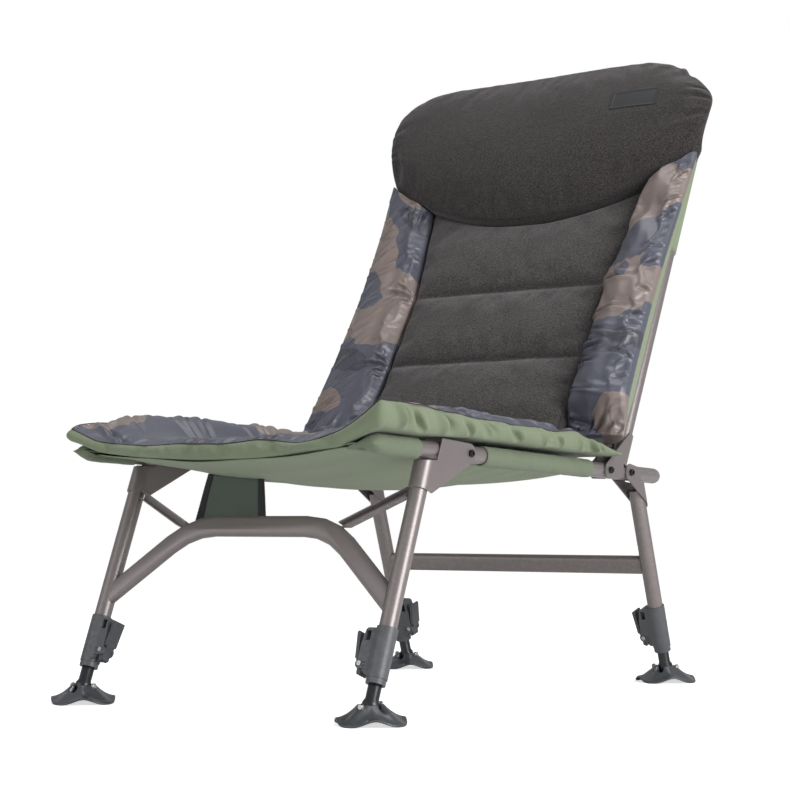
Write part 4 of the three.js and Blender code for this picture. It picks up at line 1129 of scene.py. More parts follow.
def bead(name: str, paths: Sequence[Sequence[Vector]], radius: float, finish: Finish, body: str,
         closed: bool = False, facets: int = 2) -> bpy.types.Object:
    """A round bead, such as piping or thread, along one or more paths.

    Args:
        name: The piece's name.
        paths: Points in metres.
        radius: In millimetres.
        finish: Its finish.
        body: The CAD body that it rides on.
        closed: Whether each path closes on itself.
        facets: Bevel resolution of the bead.

    Returns:
        The piece, as a mesh.
    """
    curve = bpy.data.curves.new(name, "CURVE")
    curve.dimensions = "3D"
    curve.bevel_depth = radius * MM
    curve.bevel_resolution = facets
    curve.use_fill_caps = True
    for path in paths:
        spline = curve.splines.new("POLY")
        spline.points.add(len(path) - 1)
        for point, place in zip(spline.points, path):
            point.co = (*place, 1.0)
        spline.use_cyclic_u = closed
    drawn = bpy.data.objects.new(name + "_path", curve)
    bpy.context.scene.collection.objects.link(drawn)
    graph = bpy.context.evaluated_depsgraph_get()
    mesh = bpy.data.meshes.new_from_object(drawn.evaluated_get(graph))
    bpy.data.objects.remove(drawn)
    bpy.data.curves.remove(curve)
    form = bmesh.new()
    form.from_mesh(mesh)
    bpy.data.meshes.remove(mesh)
    bmesh.ops.remove_doubles(form, verts=form.verts, dist=1e-6)
    bmesh.ops.recalc_face_normals(form, faces=form.faces)
    layer = form.loops.layers.uv.get("cloth") or form.loops.layers.uv.new("cloth")
    for face in form.faces:
        for loop in face.loops:
            place = loop.vert.co
            loop[layer].uv = (place.x + place.y, place.z + place.y)
    return finish_object(name, form, (finish,), body)


# Seat


@dataclass
class SeatCloth:
    """The slung cloth between the rails and its sleeves round them."""

    finish: Finish = SAGE
    # The sleeves take the darker copy of the sage cloth: painted shade from the pad above.
    sleeve_finish: Finish = SHADED_SLEEVE_SAGE
    front_sleeve: tuple[float, float] = (-284.5, -184.0)
    rear_sleeve: tuple[float, float] = (-28.0, 262.0)
    draw_in: float = 14.0
    sleeve_radius: float = 13.1
    hem: float = 18.0
    sleeve_turns: int = 28
    sleeve_tail: int = 4
    sleeve_flat: float = 110.0
    sleeve_half_angle: float = 172.0
    shut_rows: tuple[tuple[float, float, float], ...] = ((0.0, 0.88, 8.0), (0.62, 0.96, 4.0),
                                                         (0.93, 1.0, 0.0))
    swags: tuple[tuple[float, float, float], ...] = ((0.1, 1.6, 0.9), (0.27, 1.3, 0.5), (0.52, 1.1, 0.2),
                                                     (0.78, 1.0, -0.2))
    swag_share: float = 0.028
    edge_ripple: float = 0.8
    front_ripple: float = 0.88
    stitch_pitch: float = 7.0
    stitch_length: float = 4.6
    stitch_rows: tuple[float, float] = (6.0, 9.0)
    thread_radius: float = 0.45

    def edge(self, y: float) -> float:
        """Half width of the cloth at a place y: it is drawn in between the sleeves.

        Args:
            y: Place from front to rear.

        Returns:
            Millimetres from the middle.
        """
        into = smooth(y, self.front_sleeve[1] - 6.0, self.front_sleeve[1] + 4.0)
        out = smooth(y, self.rear_sleeve[0] - 4.0, self.rear_sleeve[0] + 6.0)
        return LINES.sling_half - self.draw_in * (into - out)

    def web(self) -> bpy.types.Object:
        """The cloth itself, with long shallow folds across.

        Returns:
            The cloth.
        """
        reach = LINES.sling_front + LINES.sling_rear

        def place(u: float, v: float) -> Vector:
            """Where a share of the cloth lies."""
            y = -LINES.sling_front + v * reach
            x = (2 * u - 1) * self.edge(y)
            side = abs(2 * u - 1)
            hollow = 1 - side * side
            near_edge = smooth(side, 0.6, 1.0) * smooth(1 - side, 0.0, 0.06)
            loose = self.edge_ripple * math.sin(y / 9.0 + 3.0 * side) * near_edge
            loose += self.front_ripple * math.sin(x / 26.0) * (1 - smooth(v, 0.0, 0.05))
            for start, size, bend in self.swags:
                line = v - start - 0.07 * bend * hollow
                loose -= size * math.exp(-((line / self.swag_share) ** 2)) * hollow ** 0.6
            return LINES.at(x, y, LINES.sling(x, y) + LINES.cloth / 2 + loose)

        form = sheet_form(84, 130, place, 2 * LINES.sling_half, reach)
        piece = finish_object("sling_cloth", form, (self.finish,), "seat")
        return thickened(piece, LINES.cloth * 0.8)

    def sleeve(self, side: Side, name: str, start: float, end: float, closed: bool) -> bpy.types.Object:
        """A sleeve sewn round one rail.

        Args:
            side: The rail's side.
            name: The piece's name.
            start: Its front end, y in millimetres.
            end: Its rear end.
            closed: Whether its front end is sewn shut over the rail's end.

        Returns:
            The piece.
        """
        turns, tail = self.sleeve_turns, self.sleeve_tail
        rows = max(10, int(abs(end - start) / 6))

        def place(u: float, v: float) -> Vector:
            """Where a share of the sleeve lies."""
            y = lerp(start, end, v)
            row = v * rows
            step = u * (turns + 2 * tail)
            shut, wide = 1.0, 1.0
            if closed and row < 2.5:
                shut, wide, ahead = self.shut_rows[int(row + 0.5)]
                y -= ahead
            ripple = 0.6 * noise.noise(Vector((y / 16.0, step / 5.0, side.value * 3.0)))
            if step < tail or step > tail + turns:
                above = step < tail
                part = (1 - step / tail) if above else (step - tail - turns) / tail
                x = LINES.half_span - self.sleeve_radius * wide - part * self.hem
                lie = LINES.cloth * 2.2 + 0.2 if above else -LINES.cloth * 0.9
                height = lerp(LINES.rail(y), LINES.sling(x, y) + lie, max(shut, part))
                return LINES.at(side.value * x, y, height)
            share = (step - tail) / turns
            angle = math.radians(lerp(self.sleeve_half_angle, -self.sleeve_half_angle, share))
            radius = self.sleeve_radius + ripple
            x = LINES.half_span + radius * wide * math.cos(angle)
            return LINES.at(side.value * x, y, LINES.rail(y) + radius * shut * math.sin(angle))

        form = sheet_form(turns + 2 * tail, rows, place, self.sleeve_flat, abs(end - start))
        bmesh.ops.remove_doubles(form, verts=form.verts, dist=DOUBLES)
        piece = finish_object(name, form, (self.sleeve_finish,), "seat")
        return thickened(piece, LINES.cloth * 0.7)

    def tab(self, side: Side) -> bpy.types.Object:
        """The folded corner of the cloth in front of the sleeve's shut end.

        Args:
            side: The chair's side.

        Returns:
            The corner.
        """
        width, depth = 34.0, 10.0

        def place(u: float, v: float) -> Vector:
            """Where a share of the corner lies."""
            x = LINES.half_span - 2.0 - width * u
            y = self.front_sleeve[0] + 2.0 - 3.0 * math.sin(math.pi * u) + depth * v
            low = LINES.rail(y) + self.sleeve_radius * (1 - 0.9 * u)
            return LINES.at(side.value * x, y, low + 2.4 * v * math.sin(math.pi * min(1.0, 1.2 * u)) + 0.8)

        form = sheet_form(12, 4, place, width, depth)
        piece = finish_object(f"sling_corner_{side.word}", form, (self.finish,), "seat")
        return thickened(piece, LINES.cloth)

    def build(self) -> None:
        """Builds the web, the sleeves and their stitching."""
        web = self.web()
        stitches = []
        for side in Side:
            for word, (start, end) in (("front", self.front_sleeve), ("rear", self.rear_sleeve)):
                name = f"sling_sleeve_{word}_{side.word}"
                self.sleeve(side, name, start, end, word == "front")
                stitches += self.stitch_row(side, start, end)
            self.tab(side)
        thread = bead("sling_stitching", stitches, self.thread_radius, self.finish, "seat", facets=1)
        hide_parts("seat_sling")

    def stitch_row(self, side: Side, start: float, end: float) -> list[list[Vector]]:
        """Short stitches beside a sleeve, under the cloth.

        Args:
            side: The chair's side.
            start: Front end of the sleeve.
            end: Its rear end.

        Returns:
            One path for each stitch.
        """
        rows = []
        for inset in self.stitch_rows:
            x = LINES.half_span - self.sleeve_radius - inset
            y = start + 6.0
            while y + self.stitch_length < end - 3.0:
                ends = (y, y + self.stitch_length)
                rows.append([LINES.at(side.value * x, place, LINES.sling(x, place) - LINES.cloth * 1.4)
                             for place in ends])
                y += self.stitch_pitch
        return rows


@dataclass
class SeatMattress:
    """The seat pad: camouflage satin on top, a sage gusset round it and a dark seam between them."""

    half_width: float = 284.0
    front: float = 300.0
    rear: float = 312.0
    thickness: float = 31.0
    side_rise: float = 15.0
    side_crown: float = 9.0
    curls: tuple[float, float] = (12.0, 35.0)
    corner_shifts: tuple[float, float] = (42.0, 68.0)
    right_lift: float = 5.0
    right_lift_shares: tuple[float, float] = (0.12, 0.4)
    end_taper_share: float = 0.34
    side_taper_share: float = 0.05
    rear_taper_share: float = 0.42
    droop: float = 8.0
    droop_ends: tuple[float, float] = (60.0, 160.0)
    hump: float = 5.0
    hump_shares: tuple[float, float] = (0.8, 0.1)
    hump_ends: tuple[float, float] = (150.0, 270.0)
    tuck_shares: tuple[tuple[float, float], ...] = ((0.13, 0.04), (0.25, 0.03), (0.41, 0.05), (0.53, 0.03),
                                                    (0.69, 0.05), (0.85, 0.04))
    tuck_depth: float = 1.1
    tuck_width_share: float = 0.016
    wanders: tuple[float, float] = (3.0, 6.0)
    channels: int = 4
    fitted: float = 0.985
    corner_cuts: tuple[float, float] = (0.055, 0.005)
    tuft: float = 4.0
    settle: float = 1.5
    bolster: float = 50.0
    gusset_swell: float = 8.5
    seam_radius: float = 0.8

    def heights(self, x: float, y: float, u: float, v: float) -> tuple[float, float]:
        """Underside and top of the pad at a place, in millimetres.

        Args:
            x: Place across.
            y: Place from front to rear.
            u: Share across.
            v: Share along.

        Returns:
            The two heights.
        """
        half = abs(x)
        corner = (1 - v) ** 8
        inner = LINES.sling_half - self.bolster / 2
        begin, full = (shift * corner for shift in self.corner_shifts)
        ease = smooth(half, inner - self.bolster + begin, inner + full)
        lifted = self.right_lift * smooth(v, *self.right_lift_shares) if x > 0 else 0.0
        clamped = min(LINES.sling_half, max(-LINES.sling_half, x))
        rested = LINES.sling(clamped, y) + LINES.cloth + self.settle
        on_cloth = max(rested, LINES.rail(y) - LINES.sling_sag)
        low = lerp(on_cloth, LINES.rail(y) + self.side_rise + lifted, ease)
        lengthways = min(1.0, 5 * min(v, 1 - v))
        sideways = min(1.0, 5 * min(u, 1 - u))
        crown = 1 - self.end_taper_share * (1 - math.sin(math.pi / 2 * lengthways))
        crown -= self.side_taper_share * (1 - sideways)
        bolster = self.side_crown * math.exp(-(((half - inner) / self.bolster) ** 2)) * (1 - 0.6 * corner)
        tufts = self.tuft * abs(math.sin(math.pi * self.channels * v)) * lengthways * sideways
        curl = self.curls[x > 0] * (1 - v) ** 6 * (half / self.half_width) ** 9
        curl -= self.droop * (1 - v) ** 10 * smooth(half, *self.droop_ends)
        at, spread = self.hump_shares
        hump = self.hump * math.exp(-(((v - at) / spread) ** 2)) * smooth(half, *self.hump_ends)
        rear_ease = 1 - self.rear_taper_share * v ** 6
        high = low + curl + (self.thickness * crown + tufts + bolster) * rear_ease + hump - lifted * ease
        return low + 0.15 * max(0.0, curl), high

    def place(self, u: float, v: float, w: float) -> Vector:
        """Where a share of the pad's block lies.

        Args:
            u: Share across.
            v: Share along.
            w: Share of the depth.

        Returns:
            The place in metres.
        """
        reach = self.front + self.rear
        drawn = 1 - 0.02 * math.sin(math.pi * v) - self.corner_cuts[u > 0.5] * (1 - v) ** 10
        x = (2 * u - 1) * self.half_width * drawn * self.fitted
        bowed = 1 - 0.012 * math.sin(math.pi * u)
        y = -self.front + reach / 2 + (v - 0.5) * reach * self.fitted * bowed
        low, high = self.heights(x, y, u, v)
        near = min(u, 1 - u, v, 1 - v)
        edge = 1 - smooth(near, 0.0, 0.08)
        wander = self.wanders[u > 0.5] * noise.noise(Vector((u * 7.0, v * 12.0, 4.0)))
        swell = self.gusset_swell * math.sin(math.pi * w) ** 0.7 if near < ON_SEAM else 0.0
        lump = 1 + 0.5 * noise.noise(Vector((u * 5.0, v * 6.0, 9.0)))
        for at, slant in self.tuck_shares:
            away = (v if min(u, 1 - u) < ON_SEAM else u) - at - slant * (0.5 - w) * (1 if u > 0.5 else -1)
            lump -= self.tuck_depth * math.exp(-((away / self.tuck_width_share) ** 2))
        if min(u, 1 - u) < ON_SEAM:
            x += math.copysign(swell * lump, x)
        if min(v, 1 - v) < ON_SEAM:
            y += math.copysign(swell * lump, v - 0.5)
        return LINES.at(x, y + wander * edge * 0.6, lerp(low, high, w) + wander * (w - 0.3) * edge)

    def folds(self) -> list[Fold]:
        """Creases of the top, from its seams inward.

        Returns:
            The creases.
        """
        width, length = 2 * self.half_width, self.front + self.rear
        rows = [
            FoldRow((4, 40), (4, length - 60), 12, (115, -66), 4.6, 5.0, 21),
            FoldRow((width - 4, 40), (width - 4, length - 60), 12, (-95, -50), 4.2, 5.0, 22),
            FoldRow((50, 4), (width - 50, 4), 10, (18, 62), 3.4, 4.6, 23),
            FoldRow((50, length - 4), (width - 50, length - 4), 9, (-14, -60), 3.0, 4.6, 24),
            FoldRow((4, 30), (4, length - 30), 12, (34, -12), 3.2, 3.4, 25),
            FoldRow((width - 4, 30), (width - 4, length - 30), 12, (-34, -12), 3.2, 3.4, 26),
            FoldRow((40, 4), (width - 40, 4), 12, (3, 26), 2.6, 3.4, 27),
        ]
        lines = [length * number / self.channels for number in range(1, self.channels)]
        seams = [Fold((0, line), (width, line), 3.0, 3.6, even=True) for line in lines]
        return seams + [fold for row in rows for fold in row.folds()]

    def side_folds(self) -> list[Fold]:
        """Creases of the gusset: left, right, then front.

        Returns:
            The creases.
        """
        tall = self.thickness
        rows = [
            FoldRow((20, tall), (590, tall), 8, (16, -34), 9.0, 4.6, 31, 0.4),
            FoldRow((10020, tall), (10590, tall), 6, (36, -32), 13.0, 5.4, 32, 0.25),
            FoldRow((10040, 0), (10590, 0), 5, (-22, 26), 7.0, 4.6, 35, 0.4),
            FoldRow((20030, tall), (20540, tall), 8, (8, -28), 2.0, 5.0, 33, 0.4),
        ]
        return [fold for row in rows for fold in row.folds()]

    def build(self) -> None:
        """Builds the pad and its seams."""
        size = (2 * self.half_width, self.front + self.rear, self.thickness)

        def dress(share: Vector, normal: Vector) -> int:
            """The finish's number on a face."""
            return 0 if normal.z > 0.5 else 1

        def free(share: Vector) -> bool:
            """Whether a place may swell: the top, but for its seam."""
            return share.z > 0.99 and min(share.x, 1 - share.x, share.y, 1 - share.y) > 0.012

        # The gusset takes the darker copy of the sage cloth: painted shade.
        pad = Padding("seat_mattress", "seat", ("seat_pad",), self.place, (72, 96, 6), size,
                      (CAMOUFLAGE, SHADED_PAD_SAGE), dress, fill=0.7, pressure=3.0, swell=7.0, slack=0.04, free=free,
                      folds=self.folds(), side_folds=self.side_folds(),
                      brown=scattered(41, 16, (0.1, 0.085)), deep=scattered(42, 9, (0.07, 0.06)))
        piece = pad.build()
        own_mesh(piece)
        seam = bead("seat_seam", [self.rim()], self.seam_radius, BINDING, "seat", closed=True)
        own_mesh(seam)

    def rim(self) -> list[Vector]:
        """The seam that runs round the pad's top.

        Returns:
            The points of the seam.
        """
        steps = 90
        shares = [(i / steps, 0.0) for i in range(steps)] + [(1.0, i / steps) for i in range(steps)]
        shares += [(1 - i / steps, 1.0) for i in range(steps)] + [(0.0, 1 - i / steps) for i in range(steps)]
        return [self.place(u, v, 1.0) for u, v in shares]


@dataclass
class HangingFlap:
    """The loose flap under the slung cloth, bound in black at its sides."""

    width: float = 100.0
    centre: float = 86.0
    bottom: float = 244.0
    y: float = -146.75
    drift: float = 22.0
    sway: float = 2.5
    binding: float = 8.5
    woven: tuple[float, float] = (65.0, 66.0)

    def place(self, u: float, v: float) -> Vector:
        """Where a share of the flap lies.

        Args:
            u: Share across.
            v: Share up.

        Returns:
            The place in metres.
        """
        x = -self.centre + (u - 0.5) * self.width * (1 + 0.1 * (1 - v)) - self.drift * (1 - v) * (1.1 - u)
        bend = self.sway * math.sin(2 * math.pi * u + 0.6) * (1 - v)
        ripple = 1.6 * noise.noise(Vector((x / 24.0, v * 2.0, 2.0))) * (1 - v)
        top = LINES.sling(x, self.y) - 0.4
        return LINES.at(x, self.y + bend + ripple + LINES.cloth / 2, lerp(self.bottom, top, v))

    def band(self, name: str, first: float, last: float) -> bpy.types.Object:
        """A flat black binding over one side of the flap.

        Args:
            name: The piece's name.
            first: Share where it begins.
            last: Share where it ends.

        Returns:
            The binding.
        """
        form = sheet_form(4, 24, lambda u, v: self.place(lerp(first, last, u), v * 0.995 + 0.002),
                          8.0, self.woven[1])
        return thickened(finish_object(name, form, (BINDING,), "seat"), LINES.cloth * 1.9)

    def build(self) -> None:
        """Builds the flap and its bindings."""
        form = sheet_form(40, 30, self.place, self.width, self.woven[0])
        piece = finish_object("under_seat_flap", form, (FLAP_GREEN,), "seat")
        thickened(piece, LINES.cloth * 0.7)
        part = self.binding / self.width
        bands = [self.band("flap_binding_left", -0.012, part),
                 self.band("flap_binding_right", 1 - part, 1.012)]
        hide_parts("seat_flap")
        anchor = LINES.at(0, 0, LINES.sling(-self.centre, self.y))
        for cloth in (piece, *bands):
            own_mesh(cloth)
        LOG.info("flap")


# Back


@dataclass
class BackLines:
    """Seams and faces of the back's pads: out is forward of the back's plane, up is up its slope."""

    foot: float = 25.0
    channels: tuple[float, float] = (168.0, 309.0)
    head: float = 511.0
    foot_proud: float = 88.0
    head_proud: float = 46.0
    crown: float = 11.0
    rear_face: float = 14.5
    hollow: float = 30.0
    hollow_height: float = 120.0
    centre_half: float = 187.0
    flare: float = 18.0
    wing_half: float = 306.0
    wing_rear_half: float = 254.0
    bow_low: float = 450.0
    bow_rise: float = 122.0
    pillow_half: float = 326.0
    pillow_top: float = 752.0

    def rear(self, up: float) -> float:
        """The pads' rear face."""
        return self.rear_face + self.hollow * max(0.0, 1 - up / self.hollow_height) ** 2

    def proud(self, up: float) -> float:
        """The pads' front face before their crown."""
        share = min(1.0, max(0.0, 1 - up / self.head))
        return self.head_proud + (self.foot_proud - self.head_proud) * share ** 1.4

    def bow(self, x: float) -> float:
        """Height of the pillow's bowed lower seam."""
        return self.bow_low + self.bow_rise * abs(x / self.pillow_half) ** 2.2

    def centre_edge(self, up: float) -> float:
        """Half width of the centre pad."""
        share = min(1.3, max(0.0, (up - self.channels[1]) / (self.bow_low - self.channels[1])))
        return self.centre_half + self.flare * share

    def seams(self, x: float) -> list[float]:
        """Heights of the seams across the centre pad."""
        return [self.foot, *self.channels, self.bow(x) - 1.0]


BACK = BackLines()


@dataclass
class CentrePad:
    """The fleece middle of the back, sewn across into three channels."""

    rows: int = 18
    length: float = 425.0
    swell: float = 15.0
    channels: int = 3

    def up(self, x: float, v: float) -> tuple[float, float]:
        """Height up the back and share within its channel.

        Args:
            x: Place across.
            v: Share along.

        Returns:
            The height and the share.
        """
        seams = BACK.seams(x)
        scaled = min(v * self.channels, self.channels - 1e-6)
        channel = int(scaled)
        share = scaled - channel
        return lerp(seams[channel], seams[channel + 1], share), share

    def place(self, u: float, v: float, w: float) -> Vector:
        """Where a share of the pad's block lies.

        Args:
            u: Share across.
            v: Share along.
            w: Share of the depth.

        Returns:
            The place in metres.
        """
        share = 2 * u - 1
        x = share * BACK.centre_half
        for _ in range(3):
            x = share * BACK.centre_edge(self.up(x, v)[0])
        height, within = self.up(x, v)
        swell = math.sin(math.pi * min(1.0, max(0.0, within))) ** 0.38
        sag = 1 + 0.3 * (0.5 - within)
        front = BACK.proud(height) + self.swell * swell * sag * (1 - abs(share) ** 6) - 2.0
        front -= 1.5 * smooth(abs(share), 0.95, 1.0)
        wave = 1.8 * noise.noise(Vector((x / 60.0, height / 40.0, 1.0)))
        inset = 1 - 0.012 * (2 * w - 1) ** 2
        return LINES.on_back(x * inset, lerp(BACK.rear(height), front + wave, w), height)

    def folds(self) -> list[Fold]:
        """The seams and small creases beside them.

        Returns:
            The creases.
        """
        width, length = 2 * BACK.centre_half, self.length
        made = []
        for number in range(self.channels + 1):
            height = number / self.channels * length
            if 0 < number < self.channels:
                made.append(Fold((0, height), (width, height), 3.2, 2.4, even=True))
            for way, seed, sewn in ((-1, 50, number > 0), (1, 60, number < self.channels)):
                if sewn:
                    up = height + 3 * way
                    row = FoldRow((15, up), (width - 15, up), 12, (1, 17 * way), 0.9, 3.6, seed + number)
                    made += row.folds()
        made += FoldRow((3, 20), (3, length - 20), 10, (20, 5), 1.2, 3.6, 71).folds()
        made += FoldRow((width - 3, 20), (width - 3, length - 20), 10, (-20, 5), 1.2, 3.6, 72).folds()
        return made

    def build(self) -> bpy.types.Object:
        """Builds the pad.

        Returns:
            The pad.
        """
        def dress(share: Vector, normal: Vector) -> int:
            """The finish's number on a face."""
            return 0 if normal.z > -0.5 else 1

        pad = Padding("centre_cushion", "back", ("back_pad_centre",), self.place,
                      (48, self.channels * self.rows, 4), (2 * BACK.centre_half, self.length, 60.0),
                      (FLEECE, SAGE), dress, fill=0.75, pressure=2.5, swell=4.0, slack=0.02, free=self.free,
                      folds=self.folds())
        return pad.build()

    def free(self, share: Vector) -> bool:
        """Whether a point may swell: not on a seam."""
        within = (share.y * self.channels) % 1.0
        return share.z > 0.99 and 0.06 < within < 0.94 and 0.02 < share.x < 0.98


@dataclass
class WingPad:
    """A satin side roll of the back, gathered at its seams, with a sage edge behind."""

    side: Side
    crown: float = 27.0
    gusset_bulge: float = 11.0
    inset: float = 5.0
    width: float = 110.0
    length: float = 500.0
    inner_dip: float = 11.0
    outer_dip: float = 4.0
    gather_share: float = 0.13
    gather_depth_share: float = 0.62
    gather_inset: float = 9.0
    pinch_shares: tuple[float, float] = (0.31, 0.62)

    def outer(self, v: float, w: float) -> float:
        """Reach of the roll's side: it tapers from the front to the tubes.

        Args:
            v: Share along.
            w: Share of the depth.

        Returns:
            Millimetres from the middle.
        """
        inset = self.inset if self.side is Side.RIGHT else 0.0
        waist = BACK.wing_half * (1 - 0.04 * math.sin(math.pi * v)) - inset
        return lerp(BACK.wing_rear_half, waist, w) + self.gusset_bulge * math.sin(math.pi * w ** 0.8)

    def rolls(self, u: float, v: float) -> float:
        """Lengthwise rolls of the stuffing, in millimetres.

        Args:
            u: Share across.
            v: Share along.

        Returns:
            The rise of the front.
        """
        sway = 0.02 * math.sin(29.0 * v) + 0.012 * math.sin(61.0 * v + 1.0)
        if self.side is Side.LEFT:
            dip = 2.0 * math.exp(-(((u - 0.42) / 0.1) ** 2))
            return 4.0 * math.exp(-(((u - 0.2 - sway * 0.5) / 0.1) ** 2)) - dip
        broad = 2.6 * math.exp(-(((u - 0.44 - 0.5 * sway) / 0.09) ** 2))
        narrow = 3.6 * math.exp(-(((u - 0.8 - sway) / 0.05) ** 2))
        return broad + narrow - 1.6 * math.exp(-(((u - 0.63) / 0.08) ** 2))

    def place(self, u: float, v: float, w: float) -> Vector:
        """Where a share of the wing's block lies.

        Args:
            u: Share across.
            v: Share along.
            w: Share of the depth.

        Returns:
            The place in metres.
        """
        outer = self.outer(v, w)
        height = lerp(BACK.foot, BACK.bow(outer) - 1.0, v)
        for _ in range(3):
            x = lerp(BACK.centre_edge(height) + 0.5, outer, u)
            height = lerp(BACK.foot, BACK.bow(x) - 1.0, v)
        crown = self.crown * math.sin(math.pi * (0.08 + 0.62 * u)) ** 0.7
        lump = 2.6 * noise.noise(Vector((height / 50.0, u * 1.6, 7.0 * self.side.value)))
        loose = (lump + self.rolls(u, v)) * math.sin(math.pi * u) ** 0.5
        front = (BACK.proud(height) + crown) * (1 - 0.08 * u ** 6) + loose
        front -= self.inner_dip * (1 - smooth(u, 0.0, 0.12)) + self.outer_dip * smooth(u, 0.94, 1.0)
        if self.side is Side.RIGHT:
            gathered = 1 - smooth(v, 0.0, self.gather_share)
            front = lerp(front, BACK.rear(height) + 10.0, self.gather_depth_share * gathered)
            x -= self.gather_inset * gathered * u
        return LINES.on_back(self.side.value * x, lerp(BACK.rear(height), front, w), height)

    def folds(self) -> list[Fold]:
        """The pinches at the channel seams, the long slanted creases and a few gathers.

        Returns:
            The creases.
        """
        width, length = self.width, self.length
        made = []
        for share in self.pinch_shares:
            y = share * length
            made += [Fold((0, y), (52, y - 6), 6.0, 3.4, bend=3.0), Fold((0, y - 9), (34, y - 22), 3.6, 2.6),
                     Fold((0, y + 9), (30, y + 20), 3.2, 2.6)]
        if self.side is Side.LEFT:
            rows = [
                FoldRow((width - 1, 4), (width - 1, length - 60), 14, (-58, 66), 7.0, 2.6, 80, 0.3),
                FoldRow((width - 30, 20), (width - 30, length - 60), 7, (-42, 46), 5.0, 2.5, 81, 0.3),
                FoldRow((2, 30), (2, length - 40), 7, (26, -12), 3.0, 2.8, 82),
                FoldRow((3, length - 6), (40, length - 6), 4, (12, -26), 5.0, 3.2, 83),
                FoldRow((40, 4), (width - 6, 4), 4, (-14, 34), 4.0, 3.4, 84),
            ]
        else:
            rows = [
                FoldRow((2, 20), (2, length * 0.62), 7, (72, -24), 6.0, 3.2, 90, 0.35),
                FoldRow((width - 3, 10), (width - 3, length - 10), 11, (-26, 3), 4.6, 2.6, 91, 0.6),
                FoldRow((width - 26, 10), (width - 26, length - 10), 8, (20, 9), 3.6, 2.4, 92, 0.6),
                FoldRow((width - 8, length * 0.7), (width - 8, length - 8), 4, (-24, 12), 3.2, 2.6, 93),
                FoldRow((10, 5), (width - 6, 5), 5, (16, 26), 5.0, 3.4, 94),
            ]
        return made + [fold for row in rows for fold in row.folds()]

    def blots(self) -> tuple[Blot, ...]:
        """The brown patches and the slate ones over them.

        Returns:
            The patches.
        """
        if self.side is Side.LEFT:
            return (Blot(0.85, 0.74, 0.42, 0.15), Blot(0.3, 0.61, 0.55, 0.1), Blot(0.55, 0.47, 0.75, 0.1),
                    Blot(0.8, 0.13, 0.3, 0.05), Blot(0.45, 0.99, 0.3, 0.02),
                    Blot(1.0, 0.585, 0.5, 0.075, True))
        return (Blot(0.4, 0.89, 0.8, 0.1), Blot(0.45, 0.52, 0.85, 0.115), Blot(0.85, 0.05, 0.36, 0.06),
                Blot(0.98, 0.98, 0.25, 0.045, True), Blot(0.42, 0.6, 0.11, 0.03, True),
                Blot(1.0, 0.78, 0.25, 0.03, True), Blot(0.95, 0.61, 0.3, 0.03, True))

    def build(self) -> bpy.types.Object:
        """Builds the wing.

        Returns:
            The wing.
        """
        def dress(share: Vector, normal: Vector) -> int:
            """The finish's number on a face."""
            front = share.z > 0.82 or (normal.z > -0.5 and (share.x < 0.01 or share.y < 0.01))
            return 0 if front else 1

        word = self.side.word
        pad = Padding(f"side_roll_{word}", "back", (f"back_wing_{word}",), self.place, (30, 124, 6),
                      (self.width, self.length, 50.0), (CAMOUFLAGE, SAGE), dress, fill=0.65, pressure=3.0,
                      swell=5.0, slack=0.04, free=lambda share: share.z > 0.99 and 0.05 < share.x < 0.96,
                      folds=self.folds(), brown=self.blots(),
                      deep=(Blot(0.2, 0.93, 0.4, 0.045), Blot(0.7, 0.3, 0.4, 0.045)))
        return pad.build()


